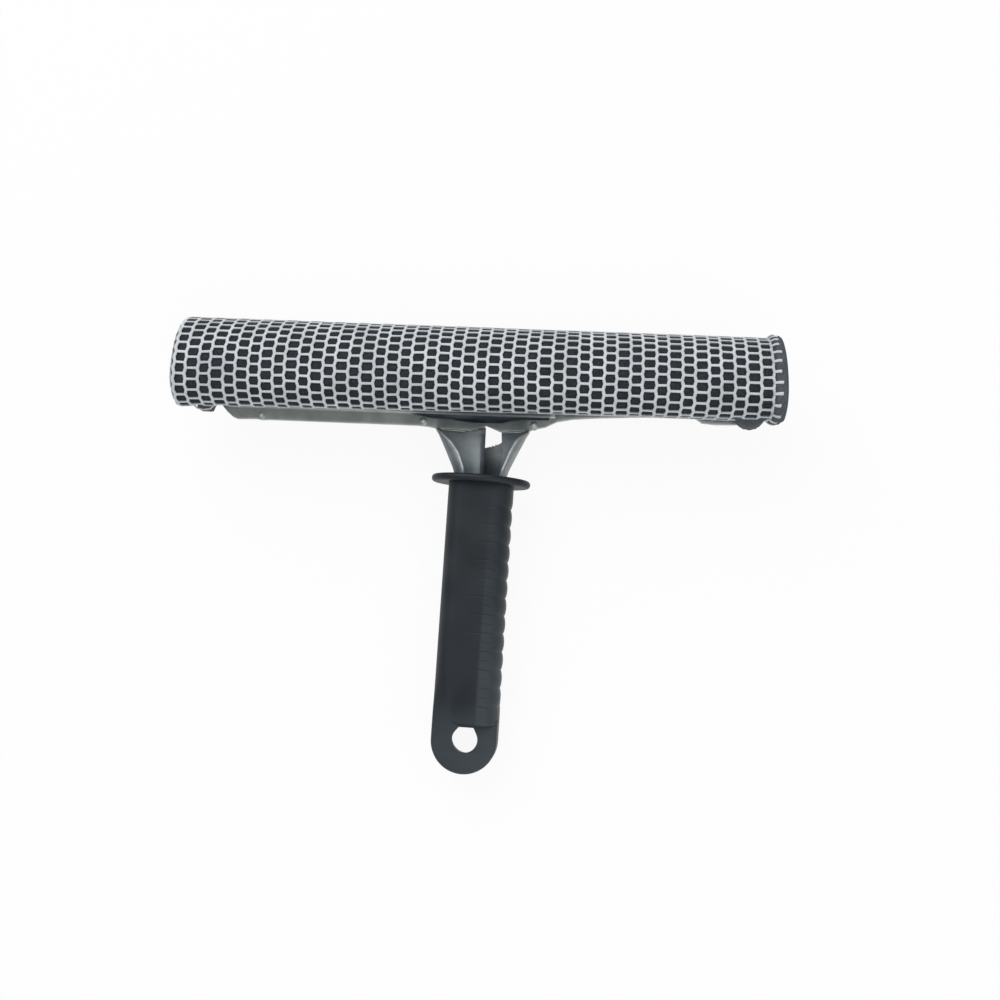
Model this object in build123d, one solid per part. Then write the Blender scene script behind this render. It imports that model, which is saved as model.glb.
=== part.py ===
from build123d import *

import math
import os

# Window scrubber: a foam roll in a knitted net on one side of a pressed steel head,
# a rubber wiper blade on the other side, and a moulded handle on the head's neck.
# The tool is modelled face on: X runs along the head, Y from the handle to the head,
# Z from the blade to the foam, with the two steel sheets meeting at Z = 0.
# At the end it is laid down on its blade and handle, foam up.

# Head
HEAD_LENGTH = 252.0
HEAD_OFFSET = -2.0  # the head's middle lies this far off the neck
SHEET = 1.0

# Foam roll and net, over the net's outer face
ROLL_HEIGHT = 39.0
ROLL_DEPTH = 23.4
ROLL_LOWER_RADIUS = 12.0
ROLL_FLAT = 2.0  # between the two curves of its front
ROLL_CORNER_RADIUS = 4.0
ROLL_DROP = 3.4  # lowest line of the roll, above the strip's lower edge
ROLL_SEAT = 0.2  # between the roll and what it lies on: the lip, and the rivets' heads
NET_THICKNESS = 0.7
NET_GAP = 0.2  # between the net and the foam
NET_HEM = 4.5  # how far the net folds over the foam's left end
RIM_LENGTH = 3.5  # bare foam beyond the net at the open end
RIM_FLARE = 0.7
RIM_EDGE_RADIUS = 1.0

# Net mesh
MESH_COLUMNS = 37
MESH_ROWS = 8
MESH_PITCH = 6.55
MESH_OPENING_WIDTH = 5.1
MESH_OPENING_HEIGHT = 4.2
MESH_CORNER = 0.9
MESH_FIRST_ANGLE = -18.0
MESH_STEP_ANGLE = 12.8
MESH_END_MARGIN = 1.5

# Ears of foam that bulge past the plate's ends
EAR_DEPTH = 8.0
EAR_TOP = 9.4  # above the strip's lower edge, inside the roll
LEFT_EAR_LOW = 2.1  # likewise above the strip's lower edge
LEFT_EAR_WIDTH = 9.5
LEFT_EAR_FOOT = 5.0
LEFT_EAR_GAP = 2.2  # from the plate's end
RIGHT_EAR_LOW = 2.9
RIGHT_EAR_RADIUS = 5.6
RIGHT_EAR_LAP = 3.0  # it hangs over the plate's end by this much

# Steel sheets
PLATE_MARGIN = 14.5  # from the head's ends to the sheets' ends
STRIP_HEIGHT = 5.4  # from the strip's lower edge to the crease of the lip
END_SLOPE = 6.6
WALL_TOP = 33.0
TAB_TOP = 12.0
TAB_START = 31.0
TAB_RELIEF = 0.5
LIP_DEPTH = 10.5
LIP_FALL = 1.5
WING_START = 22.0
# Right wing's lower edge from the wing's start to the plate's end: (along, up) as shares
# of that length and of the strip's height
WING_EDGE_SHARES = [
    (0.05, 0.22),
    (0.105, 0.69),
    (0.18, 0.94),
    (0.32, 1.14),
    (0.51, 1.32),
    (0.75, 1.44),
    (0.80, 1.02),
    (0.87, 0.93),
    (1.0, 1.0),
]

# Neck: the funnel that both sheets form
NECK_TOP_HALF = 19.5
NECK_TOP_DEPTH = 7.5
NECK_TOP_FRONT = 1.8
NECK_DROP = 1.5  # its top lies this far below the strip's lower edge
NECK_LENGTH = 20.0  # from its top to the guard
NECK_END_HALF = 10.3
NECK_END_DEPTH = 7.2
SCOOP_RISE = 9.0
SCOOP_HALF = 16.0
SCOOP_DEPTH = 1.6
TANG_LENGTH = 38.0
TANG_END_HALF = 8.2
TANG_END_DEPTH = 5.6
SLOT_START = 1.2
SLOT_WIDTH = 7.0
SLOT_INSIDE = 6.0  # how far it goes on below the guard's top, inside the handle
WINDOW_START = 0.6
WINDOW_WIDTH = 7.6
WINDOW_TOP = 0.7
WINDOW_HEIGHT = 6.6
LENS_LEFT = 32.0
LENS_RIGHT = 28.5
LENS_TOP = 5.0
LENS_BOTTOM = 2.0

# Wiper blade and its channel
CHANNEL_MARGIN = 17.0  # from the head's ends to the channel's ends
CHANNEL_HEIGHT = 7.0
CHANNEL_DEPTH = 9.0
CHANNEL_SHEET = 0.8
CHANNEL_MOUTH = 3.2
CHANNEL_BELOW_TOP = 1.0
BLADE_MARGIN = 6.0  # from the head's ends to the blade's ends
BLADE_REACH = 20.0  # from the rear sheet's back to the blade's tip
BLADE_TIP = 2.0  # its thickness at the tip
BLADE_CLEARANCE = 0.1

# Rivets
RIVET_SHANK = 2.4
RIVET_HEAD = 3.6
RIVET_HEAD_HEIGHT = 0.8
RIVET_FIT = 0.05
RIVET_UP = 1.7
RIVET_INNER = 23.7
RIVET_MARGIN = 17.5  # from the sheets' ends to the outer rivets
RIVET_HIDDEN_UP = 9.0
CHANNEL_RIVET_SPACING = 52.0
CHANNEL_RIVET_COUNT = 4

# Handle
HANDLE_OFFSET = 0.7  # its middle lies this far off the neck's
HANDLE_LEAN = 0.8
HANDLE_WIDTH = 27.1
HANDLE_THICKNESS = 19.0
HANDLE_CORNER = 6.5
HANDLE_LENGTH = 122.6  # from the guard's top to the end
TAB_LENGTH = 19.9  # from the grip's ledge to the end
GRIP_END_RADIUS = 1.5
TAB_THICKNESS = 12.0
TAB_EDGE_RADIUS = 1.5
GUARD_WIDTH = 41.9
GUARD_DEPTH = 28.8
GUARD_THICKNESS = 2.2
GUARD_TILT = 1.5
GUARD_EDGE_RADIUS = 1.0
SOCKET_CLEARANCE = 0.1
HOLE_RADIUS = 5.4
HOLE_FLAT = 4.2  # narrow enough that the round wall keeps over three quarters of its circle
HOLE_UP = 13.6  # from the handle's end to the hole's middle
GROOVE_COUNT = 12
GROOVE_WIDTH = 2.4
GROOVE_DEPTH = 0.8
GROOVE_FIRST = 12.8  # from the guard's top
GROOVE_LAST = 7.95  # from the grip's ledge
GROOVE_REACH = 8.0  # from the grip's side, over its faces

OVERRUN = 1.0  # how far a cut runs past what it cuts

ROLL_UPPER_RADIUS = ROLL_HEIGHT - ROLL_LOWER_RADIUS - ROLL_FLAT
PLATE_LENGTH = HEAD_LENGTH - 2 * PLATE_MARGIN
CHANNEL_LENGTH = HEAD_LENGTH - 2 * CHANNEL_MARGIN
BLADE_LENGTH = HEAD_LENGTH - 2 * BLADE_MARGIN
RIVET_OUTER = PLATE_LENGTH / 2 - RIVET_MARGIN
GRIP_LENGTH = HANDLE_LENGTH - TAB_LENGTH
GROOVE_PITCH = (GRIP_LENGTH - GROOVE_FIRST - GROOVE_LAST) / (GROOVE_COUNT - 1)
HEAD_LEFT = HEAD_OFFSET - HEAD_LENGTH / 2
HEAD_RIGHT = HEAD_OFFSET + HEAD_LENGTH / 2
PLATE_LEFT = HEAD_OFFSET - PLATE_LENGTH / 2
PLATE_RIGHT = HEAD_OFFSET + PLATE_LENGTH / 2
ROLL_BACK = SHEET + RIVET_HEAD_HEIGHT + ROLL_SEAT
ROLL_FRONT = ROLL_BACK + ROLL_DEPTH
ROLL_TOP = ROLL_DROP + ROLL_HEIGHT
GUARD_TOP = -NECK_DROP - NECK_LENGTH
FOAM_INSET = NET_THICKNESS + NET_GAP
CHANNEL_MIDDLE = WALL_TOP - CHANNEL_BELOW_TOP - CHANNEL_HEIGHT / 2
REACH = HEAD_LENGTH  # past everything, for blocks that keep one side


def block(x0, x1, y0, y1, z0, z1):
    """A box between two corners."""
    size = Box(x1 - x0, y1 - y0, z1 - z0)
    return Pos((x0 + x1) / 2, (y0 + y1) / 2, (z0 + z1) / 2) * size


def across(face, x0, x1):
    """A face drawn on YZ, stretched along the head."""
    return Pos(x0, 0, 0) * extrude(face, x1 - x0, dir=(1, 0, 0))


def roll_face(inset):
    """The roll's section on YZ, drawn in by an inset."""
    upper_y = ROLL_TOP - ROLL_UPPER_RADIUS
    lower_y = ROLL_DROP + ROLL_LOWER_RADIUS
    lower_z = ROLL_FRONT - ROLL_LOWER_RADIUS
    upper_z = ROLL_FRONT - ROLL_UPPER_RADIUS
    swing = math.acos((ROLL_BACK - upper_z) / ROLL_UPPER_RADIUS)
    top_y = upper_y + ROLL_UPPER_RADIUS * math.sin(swing)
    half = math.radians(45)
    back = (STRIP_HEIGHT + SHEET + ROLL_SEAT, ROLL_BACK)
    lip = (STRIP_HEIGHT + SHEET + ROLL_SEAT - LIP_FALL, LIP_DEPTH)
    low = (ROLL_DROP, lower_z)
    front_low = (lower_y, ROLL_FRONT)
    front_high = (upper_y, ROLL_FRONT)
    low_mid = (
        lower_y - ROLL_LOWER_RADIUS * math.cos(half),
        lower_z + ROLL_LOWER_RADIUS * math.sin(half),
    )
    high_mid = (
        upper_y + ROLL_UPPER_RADIUS * math.sin(swing / 2),
        upper_z + ROLL_UPPER_RADIUS * math.cos(swing / 2),
    )
    top = (top_y, ROLL_BACK)
    outline = [
        Line(back, lip),
        Line(lip, low),
        ThreePointArc(low, low_mid, front_low),
        Line(front_low, front_high),
        ThreePointArc(front_high, high_mid, top),
        Line(top, back),
    ]
    face = make_face(outline)
    corner = face.vertices().sort_by(Axis.X)[-1]
    face = fillet(corner, ROLL_CORNER_RADIUS)
    if inset:
        face = offset(face, -inset, kind=Kind.INTERSECTION)
    return Plane.YZ * face


def ear_sketches():
    """The two ears' outlines on XY: a flat-footed one at the left, a round one at the right."""
    right_side = PLATE_LEFT - LEFT_EAR_GAP
    left_side = right_side - LEFT_EAR_WIDTH
    slope = (LEFT_EAR_WIDTH - LEFT_EAR_FOOT) / 2
    left = make_face(
        Polyline(
            (right_side, EAR_TOP),
            (right_side - slope, LEFT_EAR_LOW),
            (left_side + slope, LEFT_EAR_LOW),
            (left_side, EAR_TOP),
            close=True,
        )
    )
    middle = PLATE_RIGHT - RIGHT_EAR_LAP + RIGHT_EAR_RADIUS
    right = Pos(middle, RIGHT_EAR_LOW + RIGHT_EAR_RADIUS) * Circle(RIGHT_EAR_RADIUS)
    return left, right


def ears(grow):
    """The ears as solids behind the roll's underside, swollen all round by grow."""
    solid = None
    for sketch in ear_sketches():
        outline = offset(sketch, grow) if grow else sketch
        depth = EAR_DEPTH + 2 * grow
        ear = Pos(0, 0, ROLL_BACK + FOAM_INSET - grow) * extrude(outline, depth)
        solid = ear if solid is None else solid + ear
    return solid


def make_foam():
    """The foam: the roll, its flared bare rim and its two ears."""
    inner_left = HEAD_LEFT + FOAM_INSET
    net_right = HEAD_RIGHT - RIM_LENGTH
    core = across(roll_face(FOAM_INSET), inner_left, HEAD_RIGHT - RIM_EDGE_RADIUS)
    rim = across(roll_face(-RIM_FLARE), net_right + NET_GAP, HEAD_RIGHT)
    end_face = rim.faces().sort_by(Axis.X)[-1]
    rim = chamfer(end_face.edges(), RIM_EDGE_RADIUS)
    return core + rim + ears(0)


def make_net():
    """The net sleeve, folded over the left end, with its openings cut over the front."""
    net_right = HEAD_RIGHT - RIM_LENGTH
    skin = across(roll_face(0), HEAD_LEFT, net_right)
    hollow = across(roll_face(NET_THICKNESS), HEAD_LEFT + NET_THICKNESS, net_right + OVERRUN)
    mouth = across(roll_face(NET_HEM), HEAD_LEFT - OVERRUN, HEAD_LEFT + NET_THICKNESS + OVERRUN)
    skin = skin - hollow - mouth - ears(NET_GAP)
    wide = MESH_OPENING_WIDTH / 2
    high = MESH_OPENING_HEIGHT / 2
    flat = wide - MESH_CORNER
    opening = make_face(
        Polyline(
            (-wide, 0),
            (-flat, high),
            (flat, high),
            (wide, 0),
            (flat, -high),
            (-flat, -high),
            close=True,
        )
    )
    cut = extrude(opening, ROLL_LOWER_RADIUS)
    upper_y = ROLL_TOP - ROLL_UPPER_RADIUS
    upper_z = ROLL_FRONT - ROLL_UPPER_RADIUS
    start_z = ROLL_UPPER_RADIUS - ROLL_LOWER_RADIUS / 2
    cuts = []
    for row in range(MESH_ROWS):
        angle = MESH_FIRST_ANGLE + row * MESH_STEP_ANGLE
        turn = Pos(0, upper_y, upper_z) * Rot(-angle, 0, 0)
        stagger = MESH_PITCH / 2 * (row % 2)
        for column in range(MESH_COLUMNS):
            x = HEAD_LEFT + MESH_END_MARGIN + MESH_PITCH / 2 + column * MESH_PITCH
            if x + stagger + MESH_PITCH / 2 < net_right:
                cuts.append(turn * Pos(x + stagger, 0, start_z) * cut)
    print("net openings", len(cuts))
    return skin - cuts


def wing_edge():
    """The right wing's lower edge, from the neck to the plate's end."""
    span = PLATE_RIGHT - WING_START
    points = [(WING_START, 0)]
    for along_share, up_share in WING_EDGE_SHARES:
        points.append((WING_START + along_share * span, up_share * STRIP_HEIGHT))
    return points


def neck_stations():
    """Places on the handle's axis where the funnel's sections lie, with the handle's lean."""
    lean = Rot(0, 0, -HANDLE_LEAN)
    across_axis = Rot(90, 0, 0)
    guard = Pos(0, GUARD_TOP, 0) * lean * across_axis
    tang_end = Pos(0, GUARD_TOP, 0) * lean * Pos(0, -TANG_LENGTH, 0) * across_axis
    neck_top = Pos(0, -NECK_DROP, 0) * across_axis
    scoop_top = Pos(0, SCOOP_RISE, 0) * across_axis
    return scoop_top, neck_top, guard, tang_end


def funnel(inset, top_depth, with_scoop):
    """A solid of the funnel's outer or inner shape, by its inset from the outside."""
    scoop_top, neck_top, guard, tang_end = neck_stations()
    sections = []
    if with_scoop:
        sections.append(scoop_top * Ellipse(SCOOP_HALF - inset, SCOOP_DEPTH + SHEET - inset))
    sections.append(neck_top * Ellipse(NECK_TOP_HALF - inset, top_depth - inset))
    sections.append(guard * Ellipse(NECK_END_HALF - inset, NECK_END_DEPTH - inset))
    sections.append(tang_end * Ellipse(TANG_END_HALF - inset, TANG_END_DEPTH - inset))
    return loft(sections, ruled=True)


def rivet_places():
    """Where the plate rivets stand on XY."""
    places = [(HEAD_OFFSET + side * RIVET_INNER, RIVET_UP) for side in (-1, 1)]
    places.append((HEAD_OFFSET - RIVET_OUTER, RIVET_UP))
    places.append((HEAD_OFFSET + RIVET_OUTER, RIVET_HIDDEN_UP))
    return places


def channel_rivet_places():
    """Where the channel rivets stand on XY."""
    first = HEAD_OFFSET - CHANNEL_RIVET_SPACING * (CHANNEL_RIVET_COUNT - 1) / 2
    count = range(CHANNEL_RIVET_COUNT)
    return [(first + i * CHANNEL_RIVET_SPACING, CHANNEL_MIDDLE) for i in count]


def rivet_holes(places):
    """Cutters for the rivets' holes."""
    radius = RIVET_SHANK / 2 + RIVET_FIT
    return [Pos(x, y, 0) * Cylinder(radius, 2 * CHANNEL_DEPTH) for x, y in places]


def rivet(x, y, z0, z1):
    """A rivet with a domed head at each end of its shank."""
    whole = Pos(x, y, (z0 + z1) / 2) * Cylinder(RIVET_SHANK / 2, z1 - z0 + RIVET_HEAD_HEIGHT)
    for z, way in ((z0, -1), (z1, 1)):
        head = Pos(x, y, z + way * RIVET_HEAD_HEIGHT / 2) * Cylinder(
            RIVET_HEAD / 2, RIVET_HEAD_HEIGHT
        )
        rim = head.edges().sort_by(Axis.Z)[-1 if way > 0 else 0]
        whole = whole + chamfer(rim, RIVET_HEAD_HEIGHT / 2)
    return whole


def make_back_plate():
    """The rear sheet: strip, wall behind the foam, scoop, and the rear half of the neck."""
    outline = [
        (PLATE_LEFT, STRIP_HEIGHT),
        (PLATE_LEFT + END_SLOPE, 0),
        *wing_edge(),
        (PLATE_RIGHT, WALL_TOP),
        (PLATE_LEFT, WALL_TOP),
    ]
    sheet = extrude(make_face(Polyline(*outline, close=True)), SHEET)
    sheet = Pos(0, 0, -SHEET) * sheet
    outer = funnel(0, NECK_TOP_DEPTH, True)
    inner = funnel(SHEET, NECK_TOP_DEPTH, True)
    behind = block(-REACH, REACH, -REACH, REACH, -REACH, 0)
    window = block(
        WINDOW_START,
        WINDOW_START + WINDOW_WIDTH,
        -WINDOW_TOP - WINDOW_HEIGHT,
        -WINDOW_TOP,
        -REACH,
        0,
    )
    plate = sheet + (outer & behind)
    plate = plate - inner - window
    return plate - rivet_holes(rivet_places() + channel_rivet_places())


def make_front_plate():
    """The front sheet: strip with the lip over it, tab, band, and the neck's front wings."""
    outline = [
        (PLATE_LEFT + SHEET, STRIP_HEIGHT),
        (PLATE_LEFT + END_SLOPE, 0),
        *wing_edge(),
        (PLATE_RIGHT, TAB_TOP),
        (TAB_START, TAB_TOP),
        (TAB_START, STRIP_HEIGHT),
    ]
    sheet = extrude(make_face(Polyline(*outline, close=True)), SHEET)
    band = block(-NECK_TOP_HALF, NECK_TOP_HALF, -NECK_DROP, STRIP_HEIGHT / 2, 0, SHEET)
    lip_outline = [
        (STRIP_HEIGHT, 0),
        (STRIP_HEIGHT, SHEET),
        (STRIP_HEIGHT - LIP_FALL, LIP_DEPTH),
        (STRIP_HEIGHT - LIP_FALL + SHEET, LIP_DEPTH),
        (STRIP_HEIGHT + SHEET, 0),
    ]
    lip_face = Plane.YZ * make_face(Polyline(*lip_outline, close=True))
    lip = across(lip_face, PLATE_LEFT + SHEET, TAB_START - TAB_RELIEF)
    ahead = block(-REACH, REACH, -REACH, REACH, 0, REACH)
    slot_end = GUARD_TOP - SLOT_INSIDE
    slot = block(SLOT_START, SLOT_START + SLOT_WIDTH, slot_end, -NECK_DROP, 0, REACH)
    wings = (funnel(0, NECK_TOP_FRONT, False) - funnel(SHEET, NECK_TOP_FRONT, False)) & ahead
    lens = make_face(
        [
            Line((-LENS_LEFT, LENS_TOP), (LENS_RIGHT, LENS_TOP)),
            ThreePointArc((LENS_RIGHT, LENS_TOP), (0, LENS_BOTTOM), (-LENS_LEFT, LENS_TOP)),
        ]
    )
    plate = sheet + band + lip + (wings - slot)
    plate = plate - extrude(lens, SHEET)
    return plate - rivet_holes(rivet_places())


def make_plate_rivets():
    """The four rivets through both sheets."""
    return Compound([rivet(x, y, -SHEET, SHEET) for x, y in rivet_places()])


def make_channel_rivets():
    """The rivets through the rear sheet and the channel's web."""
    back = -SHEET - CHANNEL_SHEET
    return Compound([rivet(x, y, back, 0) for x, y in channel_rivet_places()])


def make_channel():
    """The channel that holds the blade's bead, with its jaws turned in."""
    top = CHANNEL_HEIGHT / 2
    half = top - CHANNEL_SHEET
    mouth = CHANNEL_MOUTH / 2
    back = -SHEET
    web = back - CHANNEL_SHEET
    end = back - CHANNEL_DEPTH
    lip = end + CHANNEL_SHEET
    outline = [
        (CHANNEL_MIDDLE - top, back),
        (CHANNEL_MIDDLE + top, back),
        (CHANNEL_MIDDLE + top, end),
        (CHANNEL_MIDDLE + mouth, end),
        (CHANNEL_MIDDLE + mouth, lip),
        (CHANNEL_MIDDLE + half, lip),
        (CHANNEL_MIDDLE + half, web),
        (CHANNEL_MIDDLE - half, web),
        (CHANNEL_MIDDLE - half, lip),
        (CHANNEL_MIDDLE - mouth, lip),
        (CHANNEL_MIDDLE - mouth, end),
        (CHANNEL_MIDDLE - top, end),
    ]
    face = Plane.YZ * make_face(Polyline(*outline, close=True))
    left = HEAD_OFFSET - CHANNEL_LENGTH / 2
    channel = across(face, left, left + CHANNEL_LENGTH)
    return channel - rivet_holes(channel_rivet_places())


def make_blade():
    """The rubber blade: its bead inside the channel, its neck in the mouth, and its lip."""
    half = CHANNEL_HEIGHT / 2 - CHANNEL_SHEET - BLADE_CLEARANCE
    neck = CHANNEL_MOUTH / 2 - BLADE_CLEARANCE
    edge = BLADE_TIP / 2
    bead = -SHEET - CHANNEL_SHEET - RIVET_HEAD_HEIGHT - BLADE_CLEARANCE
    shoulder = -SHEET - CHANNEL_DEPTH + CHANNEL_SHEET + BLADE_CLEARANCE
    tip = -SHEET - BLADE_REACH
    outline = [
        (CHANNEL_MIDDLE - half, bead),
        (CHANNEL_MIDDLE + half, bead),
        (CHANNEL_MIDDLE + half, shoulder),
        (CHANNEL_MIDDLE + neck, shoulder),
        (CHANNEL_MIDDLE + edge, tip),
        (CHANNEL_MIDDLE - edge, tip),
        (CHANNEL_MIDDLE - neck, shoulder),
        (CHANNEL_MIDDLE - half, shoulder),
    ]
    face = Plane.YZ * make_face(Polyline(*outline, close=True))
    left = HEAD_OFFSET - BLADE_LENGTH / 2
    return across(face, left, left + BLADE_LENGTH)


def make_handle():
    """The moulded handle, made upright below its own origin, then leaned and set."""
    half_width = HANDLE_WIDTH / 2
    section = RectangleRounded(HANDLE_WIDTH, HANDLE_THICKNESS, HANDLE_CORNER)
    down = Rot(90, 0, 0)
    grip = down * extrude(section, GRIP_LENGTH)
    ledge = grip.faces().sort_by(Axis.Y)[0]
    grip = fillet(ledge.edges(), GRIP_END_RADIUS)
    end_middle = -HANDLE_LENGTH + half_width
    tab_top = -GRIP_LENGTH + HANDLE_CORNER
    tab_outline = make_face(
        [
            Line((-half_width, tab_top), (half_width, tab_top)),
            Line((half_width, tab_top), (half_width, end_middle)),
            ThreePointArc(
                (half_width, end_middle), (0, -HANDLE_LENGTH), (-half_width, end_middle)
            ),
            Line((-half_width, end_middle), (-half_width, tab_top)),
        ]
    )
    tab = Pos(0, 0, -TAB_THICKNESS / 2) * extrude(tab_outline, TAB_THICKNESS)
    rims = tab.faces().filter_by(Axis.Z).edges()
    tab = fillet(rims, TAB_EDGE_RADIUS)
    guard = down * extrude(Ellipse(GUARD_WIDTH / 2, GUARD_DEPTH / 2), GUARD_THICKNESS)
    guard = fillet(guard.edges(), GUARD_EDGE_RADIUS)
    guard = Rot(0, 0, -GUARD_TILT) * guard
    hole_y = -HANDLE_LENGTH + HOLE_UP
    hole = Pos(0, hole_y, 0) * Cylinder(HOLE_RADIUS, 2 * HANDLE_THICKNESS)
    flat_corner = math.hypot(HOLE_FLAT / 2, HOLE_RADIUS)
    swing = math.atan2(HOLE_RADIUS, HOLE_FLAT / 2) - math.acos(HOLE_RADIUS / flat_corner)
    shoulder_x = HOLE_RADIUS * math.cos(swing)
    shoulder_y = hole_y + HOLE_RADIUS * math.sin(swing)
    flat_top = hole_y + HOLE_RADIUS
    flat_outline = make_face(
        Polyline(
            (-HOLE_FLAT / 2, flat_top),
            (HOLE_FLAT / 2, flat_top),
            (shoulder_x, shoulder_y),
            (-shoulder_x, shoulder_y),
            close=True,
        )
    )
    flat = Pos(0, 0, -HANDLE_THICKNESS) * extrude(flat_outline, 2 * HANDLE_THICKNESS)
    handle = grip + tab + guard - hole - flat
    inner = RectangleRounded(
        HANDLE_WIDTH - 2 * GROOVE_DEPTH,
        HANDLE_THICKNESS - 2 * GROOVE_DEPTH,
        HANDLE_CORNER - GROOVE_DEPTH,
    )
    around = section - inner
    side = Pos(HANDLE_WIDTH / 2, 0) * Rectangle(2 * GROOVE_REACH, 2 * HANDLE_THICKNESS)
    ring = extrude(around & side, GROOVE_WIDTH)
    for i in range(GROOVE_COUNT):
        start = GROOVE_FIRST + i * GROOVE_PITCH - GROOVE_WIDTH / 2
        handle = handle - Pos(0, -start, 0) * down * ring
    handle = Pos(HANDLE_OFFSET, GUARD_TOP, 0) * Rot(0, 0, -HANDLE_LEAN) * handle
    return handle - funnel(-SOCKET_CLEARANCE, NECK_TOP_DEPTH, False)


def lie_angle():
    """The turn about X that brings the blade's tip and the grip's back corner level."""
    tip_y = CHANNEL_MIDDLE - BLADE_TIP / 2
    tip_z = -SHEET - BLADE_REACH
    corner_y = GUARD_TOP - (GRIP_LENGTH - GRIP_END_RADIUS) * math.cos(math.radians(HANDLE_LEAN))
    corner_z = -HANDLE_THICKNESS / 2 + GRIP_END_RADIUS
    along = tip_y - corner_y
    drop = tip_z - corner_z
    span = math.hypot(along, drop)
    return math.asin(-GRIP_END_RADIUS / span) - math.atan2(drop, along)


def main():
    parts = {
        "scrubber_foam": make_foam(),
        "scrubber_net": make_net(),
        "front_plate": make_front_plate(),
        "back_plate": make_back_plate(),
        "plate_rivets": make_plate_rivets(),
        "blade_channel": make_channel(),
        "channel_rivets": make_channel_rivets(),
        "rubber_blade": make_blade(),
        "handle_grip": make_handle(),
    }
    lie = Rot(math.degrees(lie_angle()), 0, 0)
    laid = {name: lie * shape for name, shape in parts.items()}
    whole = Compound([solid for shape in laid.values() for solid in shape.solids()])
    box = whole.bounding_box()
    centre = box.center()
    seat = Pos(-centre.X, -centre.Y, -box.min.Z)
    os.makedirs("parts", exist_ok=True)
    for name, shape in laid.items():
        export_step(seat * shape, f"parts/{name}.step")


if __name__ == "__main__":
    main()
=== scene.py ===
"""Window scrubber: a netted foam roll and a rubber blade on a pressed steel head with a moulded grip.

Every piece is shaped in the tool's own frame, in millimetres: X along the head, Y from the handle
to the head, Z from the blade to the foam, with the two steel sheets meeting at Z = 0. A finished
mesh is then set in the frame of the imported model, in metres, lying on its blade and grip.
"""

import logging
import math
from collections.abc import Callable, Iterator, Sequence
from contextlib import contextmanager
from dataclasses import dataclass, field
from enum import Enum

import bpy
import numpy as np
from mathutils import Matrix, Vector


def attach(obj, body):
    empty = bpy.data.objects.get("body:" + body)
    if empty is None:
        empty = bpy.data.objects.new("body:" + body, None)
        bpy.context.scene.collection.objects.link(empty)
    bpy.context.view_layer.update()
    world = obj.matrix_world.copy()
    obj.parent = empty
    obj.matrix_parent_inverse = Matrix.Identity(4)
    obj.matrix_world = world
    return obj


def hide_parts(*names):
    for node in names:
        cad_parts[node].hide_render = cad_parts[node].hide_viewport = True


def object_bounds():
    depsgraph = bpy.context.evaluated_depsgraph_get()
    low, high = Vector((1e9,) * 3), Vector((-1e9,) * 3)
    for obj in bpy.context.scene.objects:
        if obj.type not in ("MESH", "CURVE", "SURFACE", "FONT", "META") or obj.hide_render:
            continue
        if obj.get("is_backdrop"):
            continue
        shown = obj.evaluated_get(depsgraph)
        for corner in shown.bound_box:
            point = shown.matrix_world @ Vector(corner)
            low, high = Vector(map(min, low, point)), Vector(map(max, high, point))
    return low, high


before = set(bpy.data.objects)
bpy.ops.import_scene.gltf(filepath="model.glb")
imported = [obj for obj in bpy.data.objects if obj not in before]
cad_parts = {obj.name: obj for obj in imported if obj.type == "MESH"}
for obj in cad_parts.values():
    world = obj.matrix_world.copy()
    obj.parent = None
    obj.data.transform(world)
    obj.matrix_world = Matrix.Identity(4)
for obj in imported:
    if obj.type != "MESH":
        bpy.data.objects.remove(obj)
CAD_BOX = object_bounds()

LOG = logging.getLogger("window_scrubber")
Object = bpy.types.Object
Tree = bpy.types.NodeTree
Socket = bpy.types.NodeSocket
Points = np.ndarray
Table = tuple[tuple[float, float], ...]
Placer = Callable[[Points, Points], Points]
Settings = dict[str | int, object]
Links = dict[str | int, Socket]

MM = 0.001
LIE_ANGLE = math.radians(4.37690775)
LIE_OFFSET = Vector((2.0, 51.1224, 18.8473))
LAID = Matrix.Scale(MM, 4) @ Matrix.Translation(LIE_OFFSET) @ Matrix.Rotation(LIE_ANGLE, 4, "X")

GUARD_TOP = -21.5
HANDLE_OFFSET = 0.7
HANDLE_LEAN = math.radians(0.8)


# Small tools of the bench


def select_only(obj: Object) -> None:
    """Makes one object the selected and active one, in object mode.

    Args:
        obj: the object.
    """
    if bpy.context.object and bpy.context.object.mode != "OBJECT":
        bpy.ops.object.mode_set(mode="OBJECT")
    bpy.ops.object.select_all(action="DESELECT")
    obj.select_set(True)
    bpy.context.view_layer.objects.active = obj


@contextmanager
def editing(obj: Object, element: str = "FACE") -> Iterator[None]:
    """Opens a mesh in edit mode, and closes it again.

    Args:
        obj: the object.
        element: what is selected in it: VERT, EDGE or FACE.

    Yields:
        Nothing, while the mesh is open.
    """
    select_only(obj)
    elements = ("VERT", "EDGE", "FACE")
    bpy.context.tool_settings.mesh_select_mode = tuple(element == one for one in elements)
    bpy.ops.object.mode_set(mode="EDIT")
    yield
    bpy.ops.object.mode_set(mode="OBJECT")


def named(obj: Object, name: str) -> Object:
    """Gives an object and its mesh a name.

    Args:
        obj: the object.
        name: its name.

    Returns:
        The same object.
    """
    obj.name = name
    obj.data.name = name
    return obj


def primitive(add: Callable[..., object], name: str, **settings: object) -> Object:
    """Adds a primitive, with nothing else selected.

    Args:
        add: the operator that adds it.
        name: the new object's name.
        **settings: the operator's own settings.

    Returns:
        The new object.
    """
    bpy.ops.object.select_all(action="DESELECT")
    add(**settings)
    return named(bpy.context.object, name)


def get_points(obj: Object) -> Points:
    """Reads a mesh's points.

    Args:
        obj: the object.

    Returns:
        Rows of X, Y, Z.
    """
    flat = np.empty(len(obj.data.vertices) * 3, np.float32)
    obj.data.vertices.foreach_get("co", flat)
    return flat.reshape(-1, 3).astype(float)


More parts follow.
